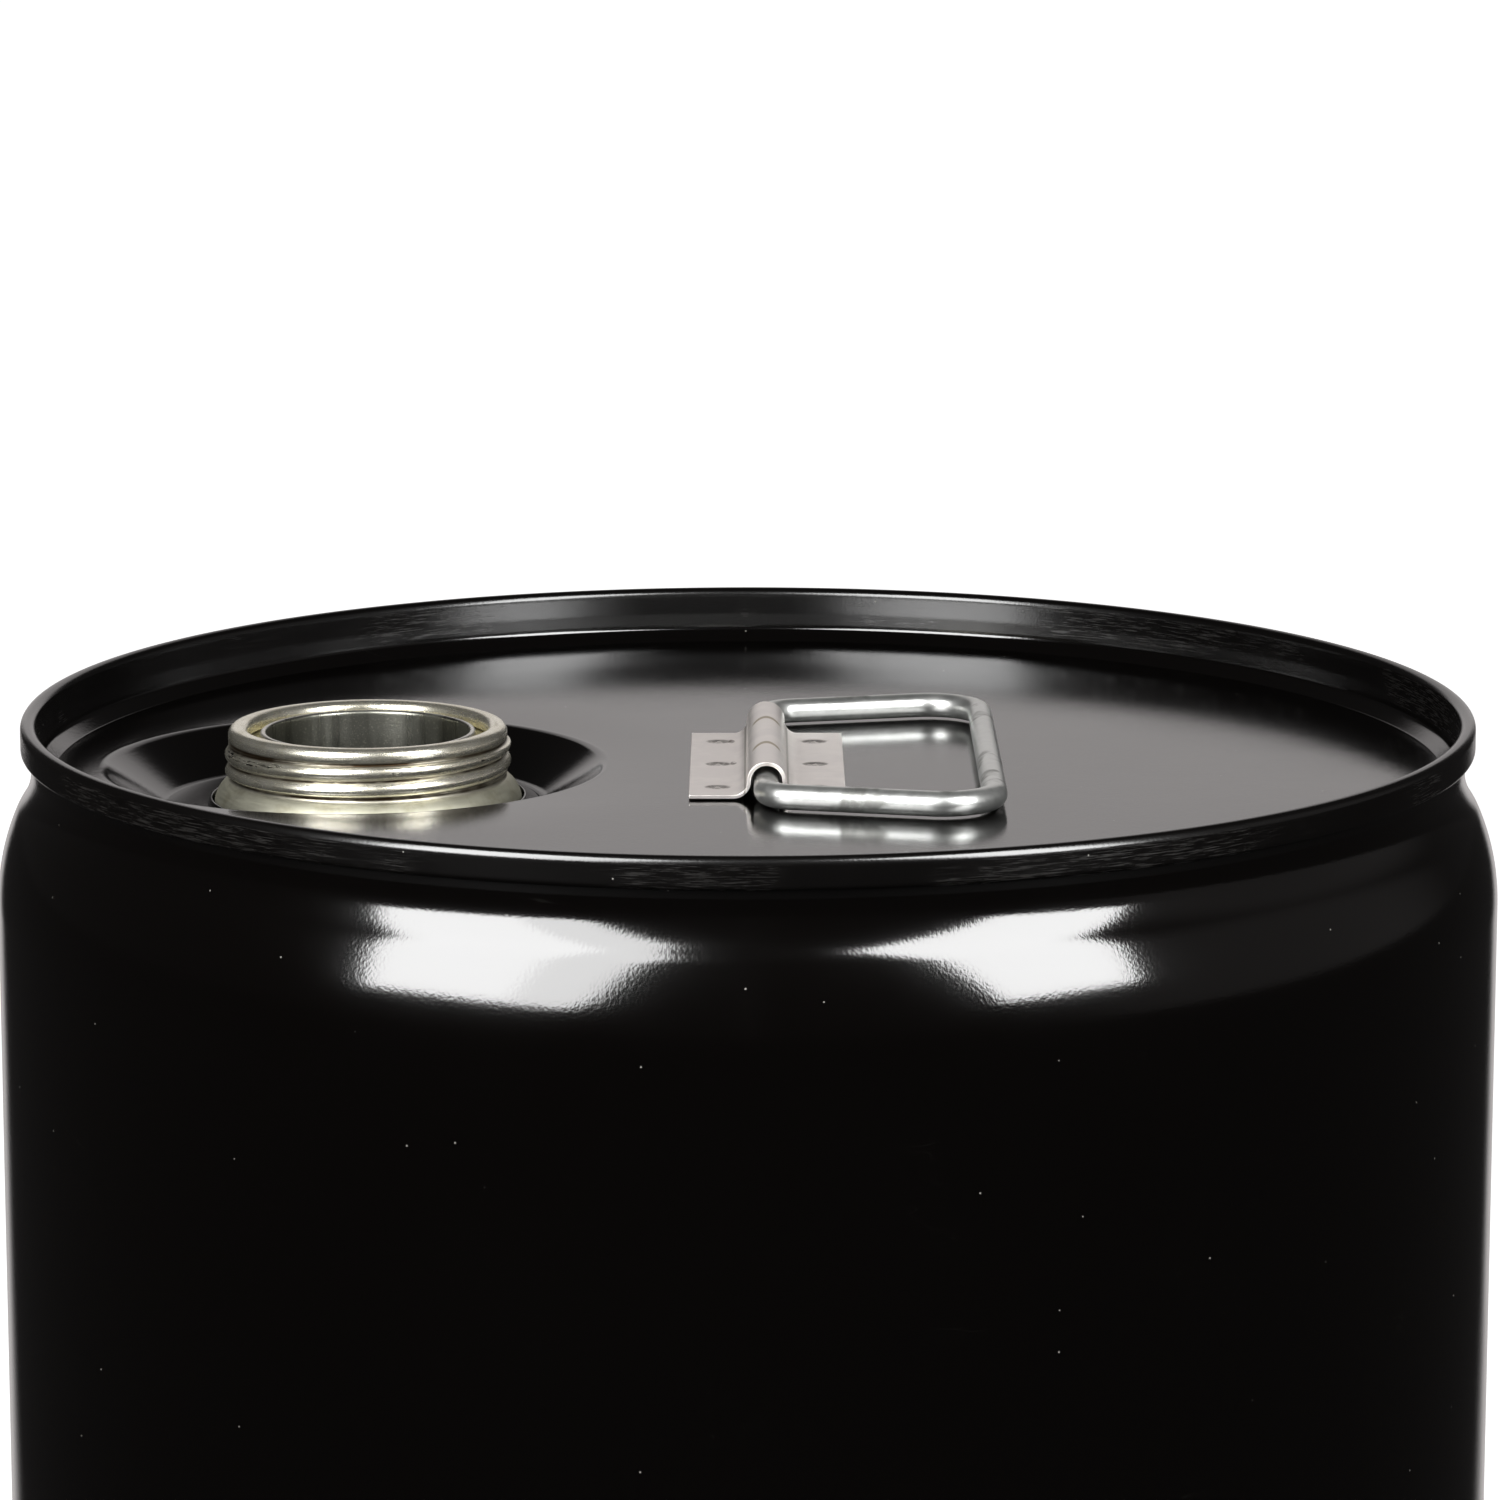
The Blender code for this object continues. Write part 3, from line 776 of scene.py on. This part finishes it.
def tuck_height(side):
    """The height that a cover's inner fold, at the seam's other edge, is centred on."""
    inset = SEAM_HEIGHT - HALF_SHEET - FOLD_PITCH
    return HEIGHT - inset if side > 0 else inset


def cover_seam(chuck_radius, side):
    """A head's share of its seam, from the tip of its hook to the top of its chuck wall."""
    step = 180.0 / FOLD_STEPS
    tip_height = fold_height(side) - side * HOOK_TIP_DROP
    path = Profile(chuck_radius + 2 * FOLD_PITCH, tip_height, -90.0 * side)
    path.line_to_height(tuck_height(side))
    path.arc(FOLD_PITCH, 180.0 * side, step)
    path.line_to_height(fold_height(side))
    path.arc(2 * FOLD_PITCH, 180.0 * side, step)
    return path


def drum_angles():
    """Even steps around the drum, with extra ones across the welded side seam."""
    half = 1.6 * WELD_HALF_WIDTH / BODY_RADIUS
    across = [WELD_ANGLE + half * (2.0 * step / WELD_STEPS - 1.0) for step in range(WELD_STEPS + 1)]
    away = [angle for angle in even_angles(DRUM_STEPS) if abs(angle - WELD_ANGLE) > 1.1 * half]
    return sorted(away + across)


def weld_lift(angle, radius, height):
    """How far the side seam's overlap stands out of the wall."""
    offset = abs(angle - WELD_ANGLE) * BODY_RADIUS / WELD_HALF_WIDTH
    share = clamp(3.0 * (1.15 - offset))
    to_end = min(height - WELD_BOTTOM, HEIGHT - WELD_TOP_BELOW - height)
    return WELD_LIFT * smooth(share) * clamp(to_end / WELD_END_FADE)


def build_body_shell(material):
    """The side wall, with a hook turned outwards at each end for the double seams."""
    step = 180.0 / FOLD_STEPS
    wall = Profile(TOP_CHUCK_RADIUS + 3 * FOLD_PITCH, tuck_height(1) + BODY_HOOK_CLEARANCE, 90.0)
    wall.line_to_height(fold_height(1))
    wall.arc(FOLD_PITCH, 180.0, step)
    wall.line_to_height(HEIGHT - NECK_IN_BELOW)
    wall.arc(SHOULDER_HOLLOW + HALF_SHEET, SHOULDER_SLOPE, 3.0)
    wall.arc(SHOULDER_UPPER - HALF_SHEET, SHOULDER_BREAK - SHOULDER_SLOPE, SHOULDER_ARC_STEP)
    wall.arc(SHOULDER_LOWER - HALF_SHEET, -SHOULDER_BREAK, SHOULDER_ARC_STEP)
    wall.line_to_height(fold_height(-1), WALL_ROWS)
    wall.arc(FOLD_PITCH, 180.0, step)
    wall.line_to_height(tuck_height(-1) - BODY_HOOK_CLEARANCE)
    return turn("body_wall", sheet_outline(wall.points, SHEET), material, drum_angles(), weld_lift)


def approach_sink(x, y):
    """How far the flat of the head is drawn down towards its recess."""
    gap = math.hypot(x - RECESS_CENTRE[0], y - RECESS_CENTRE[1]) - RECESS_RADIUS
    share = max(0.0, 1.0 - (gap / APPROACH_WIDTH if gap > 0.0 else -gap / (4.0 * RECESS_ROUND)))
    to_wall = APPROACH_END_RADIUS - math.hypot(x, y)
    return -APPROACH_DROP * share * share * clamp(to_wall / APPROACH_FADE)


def build_top_head(material):
    """The dished top, with a recess that the neck stands in and a collar around its hole."""
    path = cover_seam(TOP_CHUCK_RADIUS, 1)
    path.line_to_height(HEIGHT - CHUCK_DRAFT_BELOW)
    path.arc(CHUCK_DRAFT_BEND, -CHUCK_DRAFT, 1.0)
    path.line_to_height(HEIGHT - STEP_BELOW)
    path.arc(STEP_BEND, CHUCK_DRAFT - STEP_SLOPE, 5.0)
    fillet_drop = HEAD_FILLET * (1.0 - math.sin(math.radians(STEP_SLOPE)))
    path.line_to_height(FLOOR - HALF_SHEET + fillet_drop)
    path.arc(HEAD_FILLET, STEP_SLOPE - 90.0, 5.0)
    path.recentre(RECESS_RADIUS, RECESS_CENTRE, APPROACH_ROWS)
    path.arc(RECESS_ROUND, RECESS_SLOPE, 3.5)
    round_drop = RECESS_ROUND * (1.0 - math.cos(math.radians(RECESS_SLOPE)))
    path.line_to_height(FLOOR - HALF_SHEET - RECESS_DEPTH + round_drop)
    path.arc(RECESS_ROUND, -RECESS_SLOPE, 3.5)
    path.recentre(RECESS_FLAT_RADIUS, NECK_CENTRE)
    path.line_to_radius(COLLAR_RADIUS + COLLAR_ROUND)
    path.arc(COLLAR_ROUND, -90.0)
    path.line(COLLAR_HEIGHT - COLLAR_ROUND)
    outline = sheet_outline(path.points, SHEET)
    return turn("dished_top", outline, material, even_angles(DRUM_STEPS), rise=approach_sink)


def build_bottom_head(material):
    """The countersunk bottom, with a shallow raised panel that stiffens it."""
    path = cover_seam(BOTTOM_CHUCK_RADIUS, -1)
    path.line_to_height(COUNTERSINK + HALF_SHEET - BOTTOM_FILLET)
    path.arc(BOTTOM_FILLET, 90.0, 6.0)
    slope = math.degrees(math.atan2(PANEL_RISE, PANEL_SLOPE_WIDTH))
    path.line_to_radius(PANEL_RADIUS)
    path.arc(PANEL_ROUND, -slope, 2.0)
    path.line_to_height(COUNTERSINK + HALF_SHEET + PANEL_RISE * 0.8)
    path.arc(PANEL_ROUND, slope, 2.0)
    path.line_to_radius(0.0, 4)
    outline = sheet_outline(path.points, SHEET)
    return turn("domed_bottom", outline, material, even_angles(DRUM_STEPS))


# ---- The neck -------------------------------------------------------------------

def thread_lift(angle, radius, height):
    """How far the pressed, right-handed thread stands out of the neck's wall."""
    crest = HEIGHT - THREAD_CREST_BELOW + THREAD_PITCH * (angle / (2.0 * math.pi) - 0.5)
    wave = 0.5 + 0.5 * math.cos(2.0 * math.pi * (height - crest) / THREAD_PITCH)
    to_top = (HEIGHT - THREAD_TOP_BELOW - height) / THREAD_FADE
    to_bottom = (height - HEIGHT + THREAD_BOTTOM_BELOW) / THREAD_FADE
    return THREAD_LIFT * wave ** THREAD_FULLNESS * smooth(clamp(min(to_top, to_bottom)))


def build_screw_neck(material):
    """The threaded neck: a flange under the head, a flare, the thread and a rolled bead."""
    half = NECK_SHEET / 2
    root = THREAD_ROOT - half
    path = Profile(FLANGE_RADIUS, FLANGE_HEIGHT, 180.0, NECK_CENTRE)
    path.line_to_radius(NECK_BASE_RADIUS + FLANGE_ROUND)
    path.arc(FLANGE_ROUND, -90.0)
    flare_bend = FLARE_ROUND + FLARE_HOLLOW
    flare_turn = math.degrees(math.acos(1.0 - (NECK_BASE_RADIUS - root) / flare_bend))
    flare_height = flare_bend * math.sin(math.radians(flare_turn))
    path.line_to_height(HEIGHT - THREAD_BOTTOM_BELOW - flare_height)
    path.arc(FLARE_ROUND, flare_turn, 4.0)
    path.arc(FLARE_HOLLOW, -flare_turn, 8.0)
    row = (THREAD_BOTTOM_BELOW - THREAD_TOP_BELOW) / THREAD_ROWS
    for _ in range(THREAD_ROWS):
        path.line(row)
    path.go_to(BEAD_OUTER - half, path.height + BEAD_STEP_HEIGHT)
    path.line_to_height(HEIGHT - NECK_TOP_BELOW - half - BEAD_ROUND)
    path.arc(BEAD_ROUND, 90.0)
    path.line_to_radius(BEAD_INNER + half + BEAD_ROUND)
    path.arc(BEAD_ROUND, 90.0)
    path.line(BEAD_LIP)
    outline = sheet_outline(path.points, NECK_SHEET)
    return turn("threaded_neck", outline, material, even_angles(NECK_STEPS), thread_lift)


def build_neck_sleeve(material):
    """The smooth tube inside the neck, flared under it and curled outwards at its mouth."""
    half = NECK_SHEET / 2
    path = Profile(SLEEVE_FLARE_RADIUS, FLANGE_HEIGHT - NECK_SHEET - GAP, 180.0, NECK_CENTRE)
    path.line_to_radius(SLEEVE_BORE + half + SLEEVE_FLARE_ROUND)
    path.arc(SLEEVE_FLARE_ROUND, -90.0)
    path.line_to_height(HEIGHT - SLEEVE_TOP_BELOW - half - SLEEVE_CURL)
    path.arc(SLEEVE_CURL, -180.0, 15.0)
    path.line(SLEEVE_LIP)
    outline = sheet_outline(path.points, NECK_SHEET)
    return turn("pouring_sleeve", outline, material, even_angles(NECK_STEPS))


def build_channel_seal(material):
    """The ring of lining compound in the channel, hollow-faced where it was poured."""
    top = HEIGHT - SEAL_TOP_BELOW
    bottom = top - SEAL_THICKNESS
    outline = [(SEAL_OUTER, bottom, NECK_CENTRE)]
    rows = 12
    for index in range(rows + 1):
        share = index / rows
        hollow = SEAL_MENISCUS * (1.0 - (2.0 * share - 1.0) ** 4)
        outline.append((SEAL_OUTER + share * (SEAL_INNER - SEAL_OUTER), top - hollow, NECK_CENTRE))
    outline.append((SEAL_INNER, bottom, NECK_CENTRE))
    return turn("channel_seal", outline, material, even_angles(NECK_STEPS))


# ---- The handle -----------------------------------------------------------------

def resample(points, step):
    """Points along a profile, no further apart than step."""
    dense = [points[0][:2]]
    for (x0, z0, _), (x1, z1, _) in zip(points, points[1:]):
        count = max(1, math.ceil(math.hypot(x1 - x0, z1 - z0) / step))
        for index in range(1, count + 1):
            share = index / count
            dense.append((x0 + share * (x1 - x0), z0 + share * (z1 - z0)))
    return dense


def weld_press(x, y):
    """How far the strap's face is pressed in by a spot weld, or raised at its middle."""
    press = 0.0
    for column in WELD_COLUMNS:
        for row in WELD_ROWS:
            along = (x - column) / WELD_DIMPLE_HALF_LENGTH
            across = (y - row) / WELD_DIMPLE_HALF_WIDTH
            inside = 1.0 - along * along - across * across
            if inside > 0.0:
                press -= WELD_DIMPLE_DEPTH * min(1.0, 1.6 * inside)
            reach = math.hypot(x - column, y - row) / WELD_NUGGET_RADIUS
            if reach < 1.6:
                press += WELD_NUGGET_HEIGHT * math.exp(-reach * reach * 2.0)
    return press


def strap_path():
    """The middle of the bracket's sheet, as X and Z, from its left end to its right."""
    half = BRACKET_SHEET / 2
    hump = HUMP_HALF_WIDTH - half
    base = BRACKET_LOW.z + half
    path = Profile(BRACKET_LOW.x, base, 0.0)
    path.line_to_radius(PIVOT_X - hump - BRACKET_BEND)
    path.arc(BRACKET_BEND, 90.0, 6.0)
    path.line_to_height(BRACKET_HIGH.z - HUMP_HALF_WIDTH)
    path.arc(hump, -180.0, 6.0)
    path.line_to_height(base + BRACKET_BEND)
    path.arc(BRACKET_BEND, 90.0, 6.0)
    path.line_to_radius(BRACKET_HIGH.x)
    return resample(path.points, STRAP_STEP)


def build_handle_bracket(material):
    """The strap bent over the wire, with three spot welds pressed into each flange."""
    middle = strap_path()
    flat = [(x, z, AXIS) for x, z in middle]
    runs = [direction(start, end) for start, end in zip(flat, flat[1:])]
    normals = []
    for before, after in zip(runs[:1] + runs, runs + runs[-1:]):
        normal = Vector((-before[1] - after[1], before[0] + after[0])).normalized()
        normals.append(normal)
    rows = math.ceil((BRACKET_HIGH.y - BRACKET_LOW.y) / STRAP_STEP)
    ys = [BRACKET_LOW.y + (BRACKET_HIGH.y - BRACKET_LOW.y) * row / rows for row in range(rows + 1)]
    count = len(middle)
    vertices = []
    for side in (1, -1):
        for y in ys:
            for (x, z), normal in zip(middle, normals):
                reach = side * BRACKET_SHEET / 2
                if side > 0 and normal.y > 0.99 and z < BRACKET_LOW.z + BRACKET_SHEET:
                    reach += weld_press(x, y)
                vertices.append((x + normal.x * reach, y, z + normal.y * reach))
    layer = count * len(ys)
    faces = []
    for row in range(rows):
        for column in range(count - 1):
            first = row * count + column
            quad = [first, first + 1, first + 1 + count, first + count]
            faces.append(quad)
            faces.append([layer + corner for corner in quad[::-1]])
    for column in range(count - 1):
        last = rows * count + column
        faces.append([column, column + layer, column + 1 + layer, column + 1])
        faces.append([last, last + 1, last + 1 + layer, last + layer])
    for row in range(rows):
        left = row * count
        right = left + count - 1
        faces.append([left, left + count, left + count + layer, left + layer])
        faces.append([right, right + layer, right + count + layer, right + count])
    made = make_object("strap_bracket", vertices, faces, material)
    edge = made.modifiers.new("sheared_edge", "BEVEL")
    edge.width = 0.12 * MM
    edge.segments = 2
    edge.limit_method = "ANGLE"
    edge.angle_limit = math.radians(60.0)
    return made


def handle_centreline():
    """The loop's centreline about the middle of its pivot, as X and Y."""
    end_turn = 90.0 + LEG_SPLAY
    pivot_turn = 90.0 - LEG_SPLAY
    pivot_tangent = PIVOT_BEND * math.tan(math.radians(pivot_turn / 2))
    end_tangent = END_BEND * math.tan(math.radians(end_turn / 2))
    leg = HANDLE_REACH / math.cos(math.radians(LEG_SPLAY)) - pivot_tangent - end_tangent
    path = Profile(0.0, 0.0, 90.0)
    path.line(PIVOT_HALF_LENGTH - pivot_tangent, 20)
    path.arc(PIVOT_BEND, -pivot_turn, 4.0)
    path.line(leg, 16)
    path.arc(END_BEND, -end_turn, 4.0)
    far_half = [(x, y) for x, y, _ in path.points[1:]]
    near_half = [(x, -y) for x, y in far_half[::-1]]
    return far_half + near_half


def build_handle(material):
    """The wire loop, swept along its centreline."""
    points = handle_centreline()
    count = len(points)
    vertices = []
    for index, (x, y) in enumerate(points):
        before = Vector(points[index - 1])
        after = Vector(points[(index + 1) % count])
        run = (after - before).normalized()
        outward = Vector((run.y, -run.x))
        for side in range(WIRE_SIDES):
            angle = 2.0 * math.pi * side / WIRE_SIDES
            reach = WIRE_RADIUS * math.cos(angle)
            vertices.append((
                PIVOT_X + x + outward.x * reach,
                HANDLE_Y + y + outward.y * reach,
                PIVOT_HEIGHT + WIRE_RADIUS * math.sin(angle),
            ))
    faces = []
    for index in range(count):
        after = (index + 1) % count
        for side in range(WIRE_SIDES):
            next_side = (side + 1) % WIRE_SIDES
            faces.append([
                index * WIRE_SIDES + side,
                index * WIRE_SIDES + next_side,
                after * WIRE_SIDES + next_side,
                after * WIRE_SIDES + side,
            ])
    return make_object("wire_handle", vertices, faces, material)


# ---- The studio -----------------------------------------------------------------

# Lengths here are in metres. A pair is where something fades in, from its first to its second.
STUDIO_TARGET = Vector((0.0, 0.0, HEIGHT * MM))
CAMERA_PLACE = Vector((0.00039, -1.20913, 0.56784))
CAMERA_PITCH = 11.06
CAMERA_LENS = 153.24
SOFTBOX_RADIANCE = 10.8
FULL_HALF_HEIGHT = 0.66
FLOOR_RADIUS = 12.0
FLOOR_STEPS = 96
SHADE_RADII = (0.2, 0.6)
SHADE_GLOW = (0.55, 1.05)
STRIP_EDGE = (0.26, 0.14)
STRIP_START = (0.0, 0.3)
BACKDROP_TOP = (0.75, 0.35)
SIDE_WALL_START = (0.7, 0.95)
SKY_GLOW = 1.1
BACKDROP_SPREAD = 0.3
BACKDROP_EDGE = 0.12
BACKDROP_GLOW = 0.64
BACKDROP_COLOUR = (1.0, 0.955, 0.945, 1.0)
ROOM_GLOW = 0.025
SIDE_WALL_GLOW = 0.07
DARK_FLOOR_GLOW = 0.02
WHITE = (1.0, 1.0, 1.0, 1.0)


def make_camera():
    data = bpy.data.cameras.new("camera")
    data.lens = CAMERA_LENS
    data.sensor_width = 36.0
    data.clip_end = 100.0
    camera = bpy.data.objects.new("camera", data)
    camera.location = CAMERA_PLACE
    camera.rotation_euler = (math.radians(90.0 - CAMERA_PITCH), 0.0, 0.0)
    bpy.context.scene.collection.objects.link(camera)
    bpy.context.scene.camera = camera


def ray(azimuth, elevation):
    """A direction out from the drum. Azimuth 0 is straight in front, and grows to the right."""
    across = math.radians(azimuth)
    up = math.radians(elevation)
    return Vector((math.sin(across) * math.cos(up), -math.cos(across) * math.cos(up), math.sin(up)))


def make_softbox(name, place, facing, size, inner_side, taper, inner_glow, blunt, slant, middle):
    """A big soft light that narrows towards the middle of the room.

    place is the direction and distance of its middle from the drum's top, facing the
    direction of its back, and size its width and height in metres. The rest are shares:
    inner_side: 1 when the middle of the room is to the light's right, and -1 when to its left.
    taper: of the width, the part that narrows. inner_glow: that part's brightness.
    blunt: of the width, what is cut off the inner end.
    slant: of the width, what is cut off the outer end at the bottom, and none at the top.
    middle: of the height, where the inner end comes to.
    """
    width, height = size
    data = bpy.data.lights.new(name, "AREA")
    data.shape = "RECTANGLE"
    data.size = width
    data.size_y = height
    data.energy = SOFTBOX_RADIANCE * math.pi * width * height
    light = bpy.data.objects.new(name, data)
    light.location = STUDIO_TARGET + place
    light.rotation_euler = facing.to_track_quat("Z", "Y").to_euler()
    light.visible_camera = False
    bpy.context.scene.collection.objects.link(light)
    graph = Graph(data)
    share, rise, _ = graph.split(graph.node("ShaderNodeNewGeometry").outputs["Parametric"])
    inner = graph.math("SUBTRACT", 1.0, share) if inner_side > 0 else share
    outer = graph.math("SUBTRACT", 1.0, inner)
    half_height = graph.ramp(inner, -0.6 * taper, taper, 0.0, FULL_HALF_HEIGHT)
    shape = graph.ramp(graph.math("SUBTRACT", half_height, graph.gap(rise, middle)), 0.0, 0.06)
    glow = graph.ramp(inner, taper - 0.01, taper + 0.01, inner_glow, 1.0)
    inner_end = graph.ramp(inner, blunt, blunt + 0.06)
    cut = graph.product(graph.math("SUBTRACT", 1.0, rise), slant)
    outer_end = graph.ramp(graph.math("SUBTRACT", outer, cut), 0.0, 0.03)
    strength = graph.product(shape, glow, graph.product(inner_end, outer_end))
    graph.set(graph.tree.nodes["Emission"], "Strength", strength)


def make_lights():
    """Two softboxes in front of the drum, left and right."""
    make_softbox(
        "left_softbox",
        place=ray(-32.4, 26.6) * 0.59,
        facing=ray(-47.2, 35.0),
        size=(0.445, 0.47),
        inner_side=1,
        taper=0.4,
        inner_glow=0.8,
        blunt=0.07,
        slant=0.056,
        middle=0.45,
    )
    make_softbox(
        "right_softbox",
        place=ray(38.2, 28.4) * 0.69,
        facing=ray(64.0, 35.0),
        size=(0.415, 0.56),
        inner_side=-1,
        taper=0.176,
        inner_glow=1.0,
        blunt=0.14,
        slant=0.15,
        middle=0.38,
    )


def make_floor():
    """A round pale floor. In reflections it is lit only in a widening strip behind the drum."""
    mesh = bpy.data.meshes.new("floor")
    ring = [
        (FLOOR_RADIUS * math.cos(angle), FLOOR_RADIUS * math.sin(angle), 0.0)
        for angle in even_angles(FLOOR_STEPS)
    ]
    mesh.from_pydata(ring, [], [list(range(FLOOR_STEPS))])
    floor = bpy.data.objects.new("floor", mesh)
    bpy.context.scene.collection.objects.link(floor)
    graph = Graph(bpy.data.materials.new("floor"))
    x, y, _ = graph.split(graph.place())
    side = graph.math("MULTIPLY_ADD", y, -BACKDROP_SPREAD, graph.math("ABSOLUTE", x))
    strip = graph.ramp(side, *STRIP_EDGE)
    behind = graph.product(strip, graph.ramp(y, *STRIP_START))
    lit = graph.math("MULTIPLY_ADD", behind, BACKDROP_GLOW, DARK_FLOOR_GLOW)
    away = graph.ramp(graph.radius_from(graph.place(), AXIS), *SHADE_RADII, *SHADE_GLOW)
    pale = graph.node("ShaderNodeBsdfDiffuse", {"Color": (0.85, 0.85, 0.85, 1.0)})
    glow = graph.node("ShaderNodeEmission", {"Color": WHITE, "Strength": away})
    shown = graph.node("ShaderNodeAddShader", {0: pale.outputs[0], 1: glow.outputs[0]})
    seen = graph.node("ShaderNodeEmission", {"Color": BACKDROP_COLOUR, "Strength": lit})
    path = graph.node("ShaderNodeLightPath")
    mixed = graph.node("ShaderNodeMixShader", {
        0: path.outputs["Is Glossy Ray"],
        1: shown.outputs[0],
        2: seen.outputs[0],
    })
    graph.owner.cycles.emission_sampling = "NONE"
    graph.set(graph.tree.nodes["Material Output"], "Surface", mixed.outputs[0])
    graph.tree.nodes.remove(graph.tree.nodes["Principled BSDF"])
    mesh.materials.append(graph.owner)


def make_world():
    """White to the camera. The object sees a dark room with a lit backdrop and a dim right wall."""
    world = bpy.data.worlds.new("studio")
    bpy.context.scene.world = world
    graph = Graph(world)
    x, y, z = graph.split(graph.node("ShaderNodeTexCoord").outputs["Generated"])
    side = graph.math("DIVIDE", graph.math("ABSOLUTE", x), graph.math("MAXIMUM", y, 0.001))
    behind = graph.ramp(side, BACKDROP_SPREAD + BACKDROP_EDGE, BACKDROP_SPREAD)
    backdrop = graph.product(behind, graph.ramp(z, *BACKDROP_TOP))
    glow = graph.math("MULTIPLY_ADD", backdrop, BACKDROP_GLOW, ROOM_GLOW)
    side_wall = graph.ramp(x, *SIDE_WALL_START, 0.0, SIDE_WALL_GLOW)
    glow = graph.math("ADD", glow, side_wall)
    room = graph.node("ShaderNodeBackground", {"Color": BACKDROP_COLOUR, "Strength": glow})
    white = graph.node("ShaderNodeBackground", {"Color": WHITE, "Strength": SKY_GLOW})
    path = graph.node("ShaderNodeLightPath")
    mixed = graph.node("ShaderNodeMixShader", {
        0: path.outputs["Is Camera Ray"],
        1: room.outputs[0],
        2: white.outputs[0],
    })
    graph.set(graph.tree.nodes["World Output"], "Surface", mixed.outputs[0])


# ---- Everything together --------------------------------------------------------

def show(piece, body, node):
    """A piece rides on its body and stands for its CAD node, which is hidden."""
    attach(piece, body)
    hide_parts(node)


def dress(node, material):
    """Give a carried-over CAD node a better material."""
    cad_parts[node].data.materials.clear()
    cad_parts[node].data.materials.append(material)


def main():
    make_camera()
    make_floor()
    make_world()
    make_lights()
    bpy.context.scene.view_settings.view_transform = "Standard"

    paint = black_paint()
    show(build_body_shell(paint), "drum", "body_shell")
    show(build_top_head(paint), "drum", "top_head")
    show(build_bottom_head(paint), "drum", "bottom_head")
    show(build_screw_neck(tinplate()), "drum", "screw_neck")
    show(build_neck_sleeve(sleeve_tinplate()), "drum", "neck_sleeve")
    show(build_channel_seal(cream_lining()), "drum", "neck_channel_seal")
    show(build_handle_bracket(satin_strap()), "drum", "handle_bracket")
    show(build_handle(zinc_wire()), "handle", "handle")
    compound = seam_compound()
    dress("top_seam_compound", compound)
    dress("bottom_seam_compound", compound)
    dress("neck_gasket", gasket_rubber())


main()
